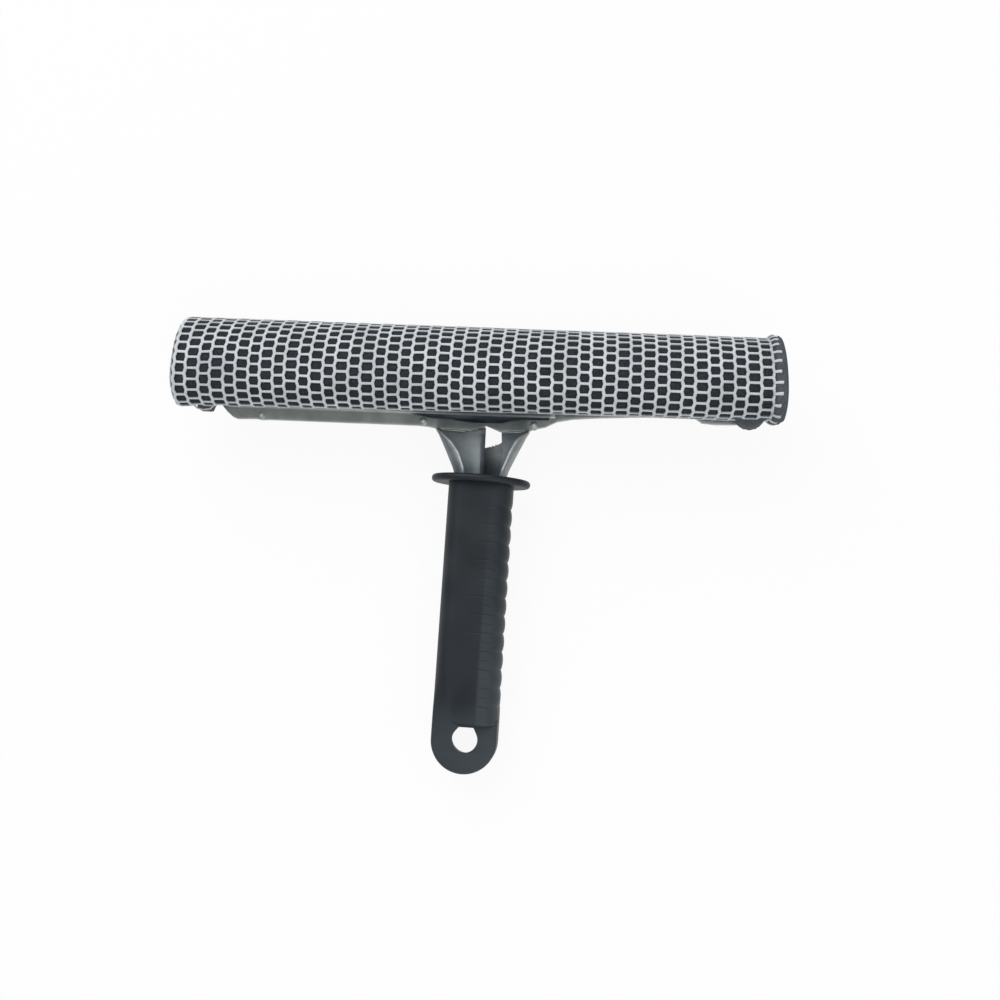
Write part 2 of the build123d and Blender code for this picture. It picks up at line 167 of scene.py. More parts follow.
def set_points(obj: Object, points: Points) -> None:
    """Writes a mesh's points.

    Args:
        obj: the object.
        points: rows of X, Y, Z.
    """
    obj.data.vertices.foreach_set("co", np.ascontiguousarray(points, np.float32).ravel())
    obj.data.update()


def apply_modifier(obj: Object, kind: str, **settings: object) -> None:
    """Adds a modifier and applies it.

    Args:
        obj: the object.
        kind: the modifier's type.
        **settings: the modifier's own settings.
    """
    select_only(obj)
    modifier = obj.modifiers.new(kind.title(), kind)
    for key, value in settings.items():
        setattr(modifier, key, value)
    bpy.ops.object.modifier_apply(modifier=modifier.name)


def ease_edges(obj: Object, width: float, segments: int, sharper_than: float = 30.0) -> None:
    """Rounds the edges that are sharper than an angle.

    Args:
        obj: the object.
        width: how far the rounding reaches.
        segments: its faces across.
        sharper_than: the angle, in degrees.
    """
    angle = math.radians(sharper_than)
    shape = {"width": width, "segments": segments}
    apply_modifier(obj, "BEVEL", limit_method="ANGLE", angle_limit=angle, **shape)


def join(pieces: Sequence[Object], name: str) -> Object:
    """Joins meshes into the first one.

    Args:
        pieces: the objects.
        name: the name of what they make.

    Returns:
        The joined object.
    """
    select_only(pieces[0])
    for piece in pieces:
        piece.select_set(True)
    bpy.ops.object.join()
    return named(bpy.context.object, name)


def merge_points(obj: Object, distance: float) -> None:
    """Merges points that lie together, and turns the faces outwards.

    Args:
        obj: the object.
        distance: how near they lie.
    """
    with editing(obj, "VERT"):
        bpy.ops.mesh.select_all(action="SELECT")
        bpy.ops.mesh.remove_doubles(threshold=distance)
        bpy.ops.mesh.normals_make_consistent(inside=False)


def smooth(obj: Object, degrees: float) -> None:
    """Shades a mesh smooth, with edges sharper than an angle left sharp.

    Args:
        obj: the object.
        degrees: the angle; at 180 none stays sharp.
    """
    select_only(obj)
    if degrees >= 180.0:
        bpy.ops.object.shade_smooth()
    else:
        bpy.ops.object.shade_smooth_by_angle(angle=math.radians(degrees))


def blank(name: str, columns: int, rows: int) -> Object:
    """Adds a flat gridded blank, to be pressed into shape.

    Args:
        name: the new object's name.
        columns: faces across.
        rows: faces up.

    Returns:
        The new object, a grid over X and Y from -0.5 to 0.5.
    """
    add = bpy.ops.mesh.primitive_grid_add
    return primitive(add, name, x_subdivisions=columns, y_subdivisions=rows, size=1.0)


def press(obj: Object, place: Placer) -> Object:
    """Moves a blank's points to where a shape puts them.

    Args:
        obj: the blank.
        place: takes shares across and up, from 0 to 1, and gives rows of X, Y, Z.

    Returns:
        The same object.
    """
    points = get_points(obj)
    set_points(obj, place(points[:, 0] + 0.5, points[:, 1] + 0.5))
    return obj


def prism(name: str, outline: Sequence[tuple[float, float]], low: float, high: float) -> Object:
    """Makes a straight prism on an outline.

    Args:
        name: the new object's name.
        outline: its corners on X and Y, clockwise.
        low: its lower end's Z.
        high: its upper end's Z.

    Returns:
        The new object.
    """
    count = len(outline)
    add = bpy.ops.mesh.primitive_cylinder_add
    obj = primitive(add, name, vertices=count, radius=1.0, depth=high - low)
    points = get_points(obj)
    turn = np.rint(np.arctan2(points[:, 0], points[:, 1]) / (2 * math.pi) * count)
    corner = np.array(outline)[np.mod(turn.astype(int), count)]
    set_points(obj, np.column_stack([corner, points[:, 2] + (low + high) / 2]))
    merge_points(obj, 0.001)
    return obj


def curve_mesh(
    name: str, path: Sequence[Sequence[float]], closed: bool, **settings: object
) -> Object:
    """Makes a mesh from a curve through points.

    Args:
        name: the new object's name.
        path: the points' X, Y, Z.
        closed: whether the curve closes on itself.
        **settings: the curve's own settings, such as its bevel.

    Returns:
        The new object.
    """
    curve = bpy.data.curves.new(name, "CURVE")
    for key, value in settings.items():
        setattr(curve, key, value)
    spline = curve.splines.new("POLY")
    spline.points.add(len(path) - 1)
    for point, place in zip(spline.points, path):
        point.co = (*place, 1)
    spline.use_cyclic_u = closed
    obj = bpy.data.objects.new(name, curve)
    bpy.context.scene.collection.objects.link(obj)
    select_only(obj)
    bpy.ops.object.convert(target="MESH")
    return bpy.context.object


def cut_away(obj: Object, cutter: Object) -> None:
    """Cuts a closed shape out of another, and clears the cutter away.

    Args:
        obj: the object that is cut.
        cutter: the shape.
    """
    apply_modifier(obj, "BOOLEAN", object=cutter, operation="DIFFERENCE", solver="EXACT")
    bpy.data.objects.remove(cutter, do_unlink=True)


def wave_noise(points: Points, scale: float, seed: int) -> Points:
    """Gives a smooth noise of about -1 to 1 for each point, the same each run.

    Args:
        points: rows of coordinates.
        scale: the size of its swells, in the points' unit.
        seed: which noise it is.

    Returns:
        One value for each row.
    """
    draw = np.random.default_rng(seed)
    total = np.zeros(len(points))
    for _ in range(6):
        way = draw.normal(size=points.shape[1])
        way /= np.linalg.norm(way)
        pace = draw.uniform(0.7, 1.6) * 2 * math.pi / scale
        total += np.sin(points @ way * pace + draw.uniform(0, 2 * math.pi))
    return total / 3.0


def rise(values: Points, low: float, high: float) -> Points:
    """Gives 0 below a limit and 1 above another, with a soft run between.

    Args:
        values: the values.
        low: the lower limit.
        high: the upper limit.

    Returns:
        One share for each value.
    """
    share = np.clip((values - low) / (high - low), 0, 1)
    return share * share * (3 - 2 * share)


def bump(values: Points, low: float, high: float, soft: float) -> Points:
    """Gives 1 between two limits and 0 outside.

    Args:
        values: the values.
        low: the lower limit.
        high: the upper limit.
        soft: the width of its shoulders.

    Returns:
        One share for each value.
    """
    half = soft / 2
    return rise(values, low - half, low + half) * (1 - rise(values, high - half, high + half))


def hump(values: Points, middle: float, width: float) -> Points:
    """Gives a soft hump of height 1.

    Args:
        values: the values.
        middle: where it stands.
        width: how far from there it has fallen to about a third.

    Returns:
        One share for each value.
    """
    return np.exp(-(((values - middle) / width) ** 2))


def paint(obj: Object, name: str, values: Points) -> None:
    """Stores one value a point, for a finish to read.

    Args:
        obj: the object.
        name: the attribute's name.
        values: the values.
    """
    layer = obj.data.attributes.new(name, "FLOAT", "POINT")
    layer.data.foreach_set("value", np.ascontiguousarray(values, np.float32))


# Finishes


def to_linear(code: str) -> tuple[float, float, float, float]:
    """Turns an sRGB hex colour such as "8c8f91" to a linear one.

    Args:
        code: the colour.

    Returns:
        Red, green, blue, and full alpha.
    """
    parts = [int(code[i : i + 2], 16) / 255 for i in (0, 2, 4)]
    linear = [c / 12.92 if c <= 0.04045 else ((c + 0.055) / 1.055) ** 2.4 for c in parts]
    return (*linear, 1.0)


def add_node(
    tree: Tree, kind: str, settings: Settings | None = None, links: Links | None = None
) -> bpy.types.Node:
    """Adds a shader node, sets its properties and sockets, and links its inputs.

    Args:
        tree: the material's or world's node tree.
        kind: the node's type, without the ShaderNode that all of them start with.
        settings: values by property, or by the input's name or number; "stops" are a ramp's
            places and sRGB hex colours.
        links: the sockets that feed its inputs, by name or number.

    Returns:
        The new node.
    """
    node = tree.nodes.new("ShaderNode" + kind)
    for key, value in (settings or {}).items():
        if key == "stops":
            for element, (place, code) in zip(node.color_ramp.elements, value, strict=True):
                element.position = place
                element.color = to_linear(code)
        elif isinstance(key, str) and hasattr(node, key):
            setattr(node, key, value)
        else:
            node.inputs[key].default_value = value
    for key, socket in (links or {}).items():
        tree.links.new(socket, node.inputs[key])
    return node


@dataclass(frozen=True)
class Surface:
    """What all finishes share: object coordinates, and one shader that fills the surface."""

    name: str = "surface"

    def shade(self, tree: Tree, place: Socket) -> tuple[Settings, Links]:
        """Adds the finish's own nodes.

        Args:
            tree: the material's node tree.
            place: object coordinates, in metres.

        Returns:
            The shader's settings and links.
        """
        raise NotImplementedError

    def make(self) -> bpy.types.Material:
        """Makes the material.

        Returns:
            The new material.
        """
        material = bpy.data.materials.new(self.name)
        material.use_nodes = True
        tree = material.node_tree
        tree.nodes.clear()
        place = add_node(tree, "TexCoord").outputs["Object"]
        shader = add_node(tree, "BsdfPrincipled", *self.shade(tree, place))
        add_node(tree, "OutputMaterial", links={"Surface": shader.outputs["BSDF"]})
        return material


@dataclass(frozen=True)
class OpenCellFoam(Surface):
    """Dyed polyurethane foam, cut from a block: dull, with open pores that hold shade."""

    name: str = "open_cell_polyurethane_foam"
    dark: str = "1b1e21"
    light: str = "393e42"
    # The bare rim's and ears' colours: paler as cut foam, and lightened further as painted light.
    cut_and_lit_dark: str = "484d51"
    cut_and_lit_light: str = "6b7176"
    pore_mm: float = 0.55
    patch_mm: float = 9.0

    def shade(self, tree: Tree, place: Socket) -> tuple[Settings, Links]:
        """Adds pores and soft patches, paler on the cut rim, partly as painted light.

        Args:
            tree: the material's node tree.
            place: object coordinates, in metres.

        Returns:
            The shader's settings and links.
        """
        at = {"Vector": place}
        pores = add_node(tree, "TexVoronoi", {"Scale": 1 / (self.pore_mm * MM)}, at)
        pores = pores.outputs["Distance"]
        patches = {"Scale": 1 / (self.patch_mm * MM), "Detail": 3.0}
        patches = add_node(tree, "TexNoise", patches, at).outputs["Fac"]
        tone = {"data_type": "FLOAT", 0: 0.35}
        tone = add_node(tree, "Mix", tone, {2: pores, 3: patches}).outputs[0]
        skin = {"stops": [(0.15, self.dark), (0.75, self.light)]}
        skin = add_node(tree, "ValToRGB", skin, {"Fac": tone}).outputs["Color"]
        cut = {"stops": [(0.15, self.cut_and_lit_dark), (0.75, self.cut_and_lit_light)]}
        cut = add_node(tree, "ValToRGB", cut, {"Fac": tone}).outputs["Color"]
        # Paler where bare: partly the cut foam's own colour, partly painted light.
        bare = add_node(tree, "Attribute", {"attribute_name": "bare"}).outputs["Fac"]
        links = {0: bare, 6: skin, 7: cut}
        colour = add_node(tree, "Mix", {"data_type": "RGBA"}, links).outputs[2]
        dents = add_node(tree, "Bump", {"Strength": 0.6, "Distance": 0.25 * MM}, {"Height": pores})
        settings = {"Roughness": 1.0, "Specular IOR Level": 0.15}
        return settings, {"Base Color": colour, "Normal": dents.outputs["Normal"]}


@dataclass(frozen=True)
class KnittedYarn(Surface):
    """Bleached polyester yarn, knitted into an open net: off white, with the yarn's fine twist."""

    name: str = "knitted_polyester_yarn"
    shadow: str = "a4a7aa"
    light: str = "e6e9ec"
    # The painted shade's colour on the yarn's sides, where they turn away from the light.
    side: str = "5f6265"
    # The twist is drawn coarser than the real yarn's, so that it shows.
    twist_mm: float = 0.55
    wear_mm: float = 14.0

    def shade(self, tree: Tree, place: Socket) -> tuple[Settings, Links]:
        """Adds the twist and large soft patches of tone, over painted shade on the yarn's sides.

        Args:
            tree: the material's node tree.
            place: object coordinates, in metres.

        Returns:
            The shader's settings and links.
        """
        at = {"Vector": place}
        stitch = {"Scale": 1 / (self.twist_mm * MM), "Detail": 3.0, "Roughness": 0.7}
        stitch = add_node(tree, "TexNoise", stitch, at).outputs["Fac"]
        tint = {"Scale": 1 / (self.wear_mm * MM), "Detail": 4.0, "Roughness": 0.6}
        tint = add_node(tree, "TexNoise", tint, at).outputs["Fac"]
        mixed = {"data_type": "FLOAT", 0: 0.6}
        mixed = add_node(tree, "Mix", mixed, {2: stitch, 3: tint}).outputs[0]
        yarn = {"stops": [(0.25, self.shadow), (0.7, self.light)]}
        yarn = add_node(tree, "ValToRGB", yarn, {"Fac": mixed}).outputs["Color"]
        # Painted shade: the yarn darkens from each cord's middle out to its sides.
        core = add_node(tree, "Attribute", {"attribute_name": "core"}).outputs["Fac"]
        inner = add_node(tree, "MapRange", {"From Max": 0.55, "To Min": 0.5}, {"Value": core})
        side = {"data_type": "RGBA", 6: to_linear(self.side)}
        colour = add_node(tree, "Mix", side, {0: inner.outputs["Result"], 7: yarn}).outputs[2]
        relief = {"Strength": 0.5, "Distance": 0.12 * MM}
        relief = add_node(tree, "Bump", relief, {"Height": stitch}).outputs["Normal"]
        settings = {"Roughness": 0.85, "Specular IOR Level": 0.3}
        settings |= {"Sheen Weight": 0.15, "Sheen Roughness": 0.5}
        return settings, {"Base Color": colour, "Normal": relief}


@dataclass(frozen=True)
class PressedSteel(Surface):
    """Zinc plated sheet steel, pressed cold: a greenish grey metal with drawn streaks and cloudy
    patches of darker zinc, under painted shade that darkens it and takes down its shine."""

    name: str = "zinc_plated_pressed_steel"
    dark: str = "9fa4a1"
    light: str = "bec2bf"
    # The painted shade's colour, laid where shade falls: under the lip, down the funnel and over the
    # neck.
    painted_shade: str = "414d55"
    roughness: float = 0.42
    cloud_mm: float = 7.0
    # Repeats a metre along X, Y and Z: long along the head and fine across it.
    streaks: tuple[float, float, float] = (60.0, 1100.0, 1100.0)

    def shade(self, tree: Tree, place: Socket) -> tuple[Settings, Links]:
        """Adds streaks along the sheet and cloudy zinc, under the painted shade.

        Args:
            tree: the material's node tree.
            place: object coordinates, in metres.

        Returns:
            The shader's settings and links.
        """
        drawn = add_node(tree, "Mapping", {"Scale": self.streaks}, {"Vector": place})
        streaks = {"Scale": 1.0, "Detail": 4.0, "Roughness": 0.65}
        streaks = add_node(tree, "TexNoise", streaks, {"Vector": drawn.outputs["Vector"]})
        streaks = streaks.outputs["Fac"]
        clouds = {"Scale": 1 / (self.cloud_mm * MM), "Detail": 5.0, "Roughness": 0.6}
        clouds = add_node(tree, "TexNoise", clouds, {"Vector": place}).outputs["Fac"]
        unshaded = {"stops": [(0.3, self.dark), (0.72, self.light)]}
        unshaded = add_node(tree, "ValToRGB", unshaded, {"Fac": clouds}).outputs["Color"]
        # Painted shade: its share mixes in the shade colour and lowers the metallic weight.
        shade_share = add_node(tree, "Attribute", {"attribute_name": "painted_shade"}).outputs["Fac"]
        shade_layer = {"data_type": "RGBA", 7: to_linear(self.painted_shade)}
        colour = add_node(tree, "Mix", shade_layer, {0: shade_share, 6: unshaded}).outputs[2]
        bright = add_node(tree, "MapRange", {"To Min": 1.0, "To Max": 0.3}, {"Value": shade_share})
        rough = {"To Min": self.roughness - 0.06, "To Max": self.roughness + 0.14}
        rough = add_node(tree, "MapRange", rough, {"Value": streaks}).outputs["Result"]
        relief = {"Strength": 0.12, "Distance": 0.05 * MM}
        relief = add_node(tree, "Bump", relief, {"Height": streaks}).outputs["Normal"]
        links = {"Base Color": colour, "Metallic": bright.outputs["Result"]}
        return {}, links | {"Roughness": rough, "Normal": relief}


@dataclass(frozen=True)
class RivetAluminium(Surface):
    """Bright aluminium rivets: a painted glint on each head's top shows as a pale dot."""

    name: str = "upset_aluminium_rivet"
    dark: str = "9a9f9d"
    light: str = "bcc1be"
    # The painted glint's colour.
    painted_glint: str = "f4f5f5"
    dent_mm: float = 1.2

    def shade(self, tree: Tree, place: Socket) -> tuple[Settings, Links]:
        """Adds small dents and the painted glint on the head's top.

        Args:
            tree: the material's node tree.
            place: object coordinates, in metres.

        Returns:
            The shader's settings and links.
        """
        dents = {"Scale": 1 / (self.dent_mm * MM), "Detail": 3.0}
        dents = add_node(tree, "TexNoise", dents, {"Vector": place}).outputs["Fac"]
        plain = {"stops": [(0.3, self.dark), (0.7, self.light)]}
        plain = add_node(tree, "ValToRGB", plain, {"Fac": dents}).outputs["Color"]
        relief = {"Strength": 0.3, "Distance": 0.1 * MM}
        relief = add_node(tree, "Bump", relief, {"Height": dents}).outputs["Normal"]
        # Painted glint: the head's top turns pale and less metallic.
        painted_glint = add_node(tree, "Attribute", {"attribute_name": "painted_glint"}).outputs["Fac"]
        glint_mix = {"data_type": "RGBA", 7: to_linear(self.painted_glint)}
        colour = add_node(tree, "Mix", glint_mix, {0: painted_glint, 6: plain}).outputs[2]
        bright = add_node(tree, "MapRange", {"To Min": 1.0, "To Max": 0.35}, {"Value": painted_glint})
        links = {"Base Color": colour, "Metallic": bright.outputs["Result"], "Normal": relief}
        return {"Roughness": 0.5}, links


@dataclass(frozen=True)
class WiperRubber(Surface):
    """Black extruded rubber: matt, with a fine bloom of grey dust."""

    name: str = "extruded_black_rubber"
    dark: str = "17181a"
    light: str = "26282b"
    bloom_mm: float = 4.0
    # Repeats a metre along X, Y and Z, as the die draws them along the blade.
    lines: tuple[float, float, float] = (40.0, 2500.0, 2500.0)

    def shade(self, tree: Tree, place: Socket) -> tuple[Settings, Links]:
        """Adds the bloom, and the die's lines along the blade.

        Args:
            tree: the material's node tree.
            place: object coordinates, in metres.

        Returns:
            The shader's settings and links.
        """
        bloom = {"Scale": 1 / (self.bloom_mm * MM), "Detail": 6.0, "Roughness": 0.7}
        bloom = add_node(tree, "TexNoise", bloom, {"Vector": place}).outputs["Fac"]
        drawn = add_node(tree, "Mapping", {"Scale": self.lines}, {"Vector": place})
        drawn = {"Vector": drawn.outputs["Vector"]}
        lines = add_node(tree, "TexNoise", {"Scale": 1.0, "Detail": 2.0}, drawn).outputs["Fac"]
        colour = {"stops": [(0.3, self.dark), (0.75, self.light)]}
        colour = add_node(tree, "ValToRGB", colour, {"Fac": bloom}).outputs["Color"]
        rough = add_node(tree, "MapRange", {"To Min": 0.5, "To Max": 0.75}, {"Value": bloom})
        relief = {"Strength": 0.15, "Distance": 0.05 * MM}
        relief = add_node(tree, "Bump", relief, {"Height": lines}).outputs["Normal"]
        links = {"Base Color": colour, "Roughness": rough.outputs["Result"], "Normal": relief}
        return {"Specular IOR Level": 0.4}, links


@dataclass(frozen=True)
class MouldedPolypropylene(Surface):
    """Blue black polypropylene from a spark-eroded mould: satin, with a fine even grain."""

    name: str = "moulded_black_polypropylene"
    dark: str = "0d141a"
    light: str = "141c24"
    # The painted light's colour, on the lit right facet and towards the end.
    painted_light: str = "31393e"
    # The painted shade's colour, in the fine moulded lines.
    line: str = "07090b"
    grain_mm: float = 0.35
    flow_mm: float = 16.0

    def shade(self, tree: Tree, place: Socket) -> tuple[Settings, Links]:
        """Adds grain and flow marks, under the painted light and the painted shade in the fine lines.

        Args:
            tree: the material's node tree.
            place: object coordinates, in metres.

        Returns:
            The shader's settings and links.
        """
        at = {"Vector": place}
        grain = {"Scale": 1 / (self.grain_mm * MM), "Detail": 2.0}
        grain = add_node(tree, "TexNoise", grain, at).outputs["Fac"]
        flow = {"Scale": 1 / (self.flow_mm * MM), "Detail": 3.0}
        flow = add_node(tree, "TexNoise", flow, at).outputs["Fac"]
        colour = {"stops": [(0.3, self.dark), (0.7, self.light)]}
        colour = add_node(tree, "ValToRGB", colour, {"Fac": flow}).outputs["Color"]
        # Painted light, then painted shade in the lines, over the plastic's colour.
        for name, code in (("painted_light", self.painted_light), ("line", self.line)):
            share = add_node(tree, "Attribute", {"attribute_name": name}).outputs["Fac"]
            over = {"data_type": "RGBA", 7: to_linear(code)}
            colour = add_node(tree, "Mix", over, {0: share, 6: colour}).outputs[2]
        rough = add_node(tree, "MapRange", {"To Min": 0.42, "To Max": 0.62}, {"Value": flow})
        relief = {"Strength": 0.18, "Distance": 0.06 * MM}
        relief = add_node(tree, "Bump", relief, {"Height": grain}).outputs["Normal"]
        links = {"Base Color": colour, "Roughness": rough.outputs["Result"], "Normal": relief}
        return {"IOR": 1.49, "Specular IOR Level": 0.42}, links


class Finish(Enum):
    """The finishes that the pieces take."""

    FOAM = OpenCellFoam()
    NET = KnittedYarn()
    STEEL = PressedSteel()
    RIVET = RivetAluminium()
    RUBBER = WiperRubber()
    PLASTIC = MouldedPolypropylene()


class Shop:
    """Keeps each finish's material, so that pieces share it, and hands pieces to the frame."""

    def __init__(self) -> None:
        """Starts with no material made."""
        self.made: dict[Finish, bpy.types.Material] = {}

    def hand_over(self, obj: Object, finish: Finish, node: str) -> None:
        """Lays a finished piece down, dresses it, and lets it stand for its node.

        Args:
            obj: the piece, in the tool's frame.
            finish: what it is made of.
            node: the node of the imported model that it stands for.
        """
        obj.data.transform(LAID)
        obj.data.update()
        if finish not in self.made:
            self.made[finish] = finish.value.make()
        obj.data.materials.clear()
        obj.data.materials.append(self.made[finish])
        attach(obj, "root")
        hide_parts(node)
        LOG.info("%s: %d points for %s", obj.name, len(obj.data.vertices), node)


# The roll


@dataclass
class RollSection:
    """The foam roll's section, over the net's outer face, walked round from the back's middle."""

    left: float = -129.7
    right: float = 123.2
    drop: float = 3.4
    height: float = 39.0
    depth: float = 23.4
    back: float = 2.0
    lower_radius: float = 12.0
    flat: float = 2.0
    corner_radius: float = 4.0
    corner_run: float = 4.6
    corner_draw: float = 1.5
    back_foot: float = 6.6
    lip: tuple[float, float] = (5.1, 10.5)
    seam: float = 20.0
    ease: float = 2.4
    samples: int = 1440
    walk: Points = field(init=False)
    normals: Points = field(init=False)
    length: float = field(init=False)
    middle: Points = field(init=False)

    def __post_init__(self) -> None:
        """Draws the section, eases its corners, and spaces its points evenly."""
        outline = self.spaced(self.corners(), self.samples)
        window = max(3, int(self.ease / self.run(outline) * self.samples)) | 1
        outline = self.spaced(self.blurred(outline, window), self.samples)
        way = np.roll(outline, -1, 0) - np.roll(outline, 1, 0)
        way /= np.linalg.norm(way, axis=1)[:, None]
        self.normals = self.blurred(np.stack([way[:, 1], -way[:, 0]], 1), window)
        self.normals /= np.linalg.norm(self.normals, axis=1)[:, None]
        self.middle = outline.mean(0)
        inwards = ((outline - self.middle) * self.normals).sum() < 0
        if inwards:
            self.normals = -self.normals
        self.walk = outline
        self.length = self.run(outline)

    def corners(self) -> Points:
        """Sets out the outline, up the back, over the top and down the front.

        Returns:
            Rows of Y and Z.
        """
        front = self.back + self.depth
        upper = self.height - self.lower_radius - self.flat
        lower = self.lower_radius
        upper_y, upper_z = self.drop + self.height - upper, front - upper
        lower_y, lower_z = self.drop + lower, front - lower
        swing = math.acos((self.back - upper_z) / upper)
        cut = self.corner_radius / upper
        points = [(self.seam, self.back)]
        points.append((upper_y + upper * math.sin(swing) - self.corner_run, self.back))
        for share in np.linspace(0.2, 0.8, 5):
            angle = swing - cut * share
            drawn = upper - self.corner_draw * (1 - share) ** 2
            points.append((upper_y + drawn * math.sin(angle), upper_z + drawn * math.cos(angle)))
        for angle in np.linspace(swing - cut, 0, 60):
            points.append((upper_y + upper * math.sin(angle), upper_z + upper * math.cos(angle)))
        for angle in np.linspace(0, math.pi / 2, 40):
            points.append((lower_y - lower * math.sin(angle), lower_z + lower * math.cos(angle)))
        points += [self.lip, (self.back_foot, self.back)]
        return np.array(points)

    @staticmethod
    def run(outline: Points) -> float:
        """Measures the length round a closed outline.

        Args:
            outline: its points.

        Returns:
            The length.
        """
        return float(np.linalg.norm(np.roll(outline, -1, 0) - outline, axis=1).sum())

    @staticmethod
    def spaced(outline: Points, count: int) -> Points:
        """Spaces a closed outline's points evenly.

        Args:
            outline: its points.
            count: how many points to give.

        Returns:
            The new points.
        """
        closed = np.vstack([outline, outline[:1]])
        along = np.concatenate([[0], np.cumsum(np.linalg.norm(np.diff(closed, axis=0), axis=1))])
        at = np.linspace(0, along[-1], count, endpoint=False)
        return np.stack([np.interp(at, along, closed[:, k]) for k in (0, 1)], 1)

    @staticmethod
    def blurred(rows: Points, window: int) -> Points:
        """Makes each row round a closed outline the mean of its neighbours.

        Args:
            rows: the rows.
            window: how many neighbours count, an odd number.

        Returns:
            The new rows.
        """
        half = window // 2
        return sum(np.roll(rows, k, 0) for k in range(-half, half + 1)) / (2 * half + 1)

    def at(self, along: Points, inset: Points | float) -> Points:
        """Finds places round the section.

        Args:
            along: distances walked from the seam.
            inset: how far in from the outline, along its normal.

        Returns:
            Rows of Y and Z.
        """
        where = np.mod(along / self.length, 1.0) * self.samples
        low = np.floor(where).astype(int) % self.samples
        share = (where - np.floor(where))[:, None]
        high = (low + 1) % self.samples
        spot = self.walk[low] * (1 - share) + self.walk[high] * share
        normal = self.normals[low] * (1 - share) + self.normals[high] * share
        return spot - normal * np.broadcast_to(inset, along.shape)[:, None]

    @staticmethod
    def settle(points: Points) -> Points:
        """Lets the soft roll sag as the real one does: fuller at its left, drawn up at its right.

        Args:
            points: rows of X, Y, Z on the roll.

        Returns:
            The rows, moved.
        """
        x, y, z = points.T
        top = (0.55 - 0.0058 * x) * rise(y, 15.0, 38.0)
        slack = 0.4 + 0.012 * x - 0.5 * (1 - rise(x, -130.0, -116.0))
        bottom = slack * (1 - rise(y, 4.0, 26.0)) * rise(z, 6.0, 12.0)
        leant = -0.03 * (y - 17.0) * rise(x, 104.0, 121.0)
        leant = leant - 0.4 * rise(y, 22.0, 36.0) * (1 - rise(x, -129.0, -118.0))
        return np.column_stack([x + leant, y + top + bottom, z])

    def towards_middle(self, rows: Points, inwards: Points) -> Points:
        """Draws places towards the section's middle, never past it.

        Args:
            rows: rows of Y and Z.
            inwards: how far each is drawn.

        Returns:
            The rows, moved.
        """
        way = self.middle - rows
        far = np.linalg.norm(way, axis=1)
        share = np.clip(inwards / np.maximum(far, 1e-6), 0, 1)
        return rows + way * share[:, None]


@dataclass
class Ears:
    """The two lumps of foam that bulge down past the sheets' ends, with the cord round one."""

    left_middle: float = -118.4
    left_half: float = 5.0
    left_foot: float = 2.7
    left_low: float = 1.7
    right_middle: float = 110.7
    right_low: float = 2.3
    right_radius: float = 5.5
    right_half: float = 6.1
    top: float = 9.0
    depth: tuple[float, float] = (4.4, 10.2)
    rim: float = 1.1
    rib: float = 0.12
    rib_pitch: float = 1.1
    cord_radius: float = 0.38

    def lump(self, name: str, outline: Sequence[tuple[float, float]]) -> Object:
        """Cuts a lump of foam to an outline, with ribbed sides and rounded rims.

        Args:
            name: the new object's name.
            outline: its corners on X and Y, clockwise.

        Returns:
            The new object.
        """
        ear = prism(name, outline, *self.depth)
        ease_edges(ear, self.rim, 4)
        points = get_points(ear)
        below = points[:, 1] < self.top - 3.0
        points[:, 1] += self.rib * np.cos(points[:, 0] * 2 * math.pi / self.rib_pitch) * below
        set_points(ear, points)
        return ear

    def left(self) -> Object:
        """Makes the left lump, narrower at its foot.

        Returns:
            The new object.
        """
        sides = []
        for share in np.linspace(0, 1, 7):
            half = self.left_half + (self.left_foot - self.left_half) * share
            sides.append((half, self.top + (self.left_low + 0.5 - self.top) * share))
        right = [(self.left_middle + half, y) for half, y in sides]
        left = [(self.left_middle - half, y) for half, y in reversed(sides)]
        foot = [(self.left_middle + k, self.left_low) for k in (1.9, 0.6, -0.6, -1.9)]
        return self.lump("left_ear", right + foot + left)

    def right(self) -> Object:
        """Makes the right lump, half round.

        Returns:
            The new object.
        """
        centre = self.right_low + self.right_radius
        outline = []
        for turn in np.linspace(0, 2 * math.pi, 48, endpoint=False):
            x = self.right_middle + self.right_half * math.sin(turn)
            outline.append((x, centre + self.right_radius * math.cos(turn)))
        return self.lump("right_ear", outline)

    def cord(self) -> Object:
        """Draws the net's cord down round the left lump's front edge.

        Returns:
            The new object.
        """
        low, z = self.left_low, self.depth[1] + 0.1
        bend = [(self.left_half + 0.2, 5.2, z + 1.2), (self.left_half - 0.5, 3.6, z + 0.6)]
        bend.append((self.left_foot + 0.1, low + 0.4, z))
        path = [(-x, y, depth) for x, y, depth in bend] + [(0.0, low - 0.1, z)] + bend[::-1]
        path = [(self.left_middle + x, y, depth) for x, y, depth in path]
        shape = {"bevel_depth": self.cord_radius, "bevel_resolution": 2, "use_fill_caps": True}
        cord = curve_mesh("ear_cord", path, False, dimensions="3D", **shape)
        # Half the yarn's painted side shade, all over the cord.
        paint(cord, "core", np.full(len(cord.data.vertices), 0.5))
        return cord


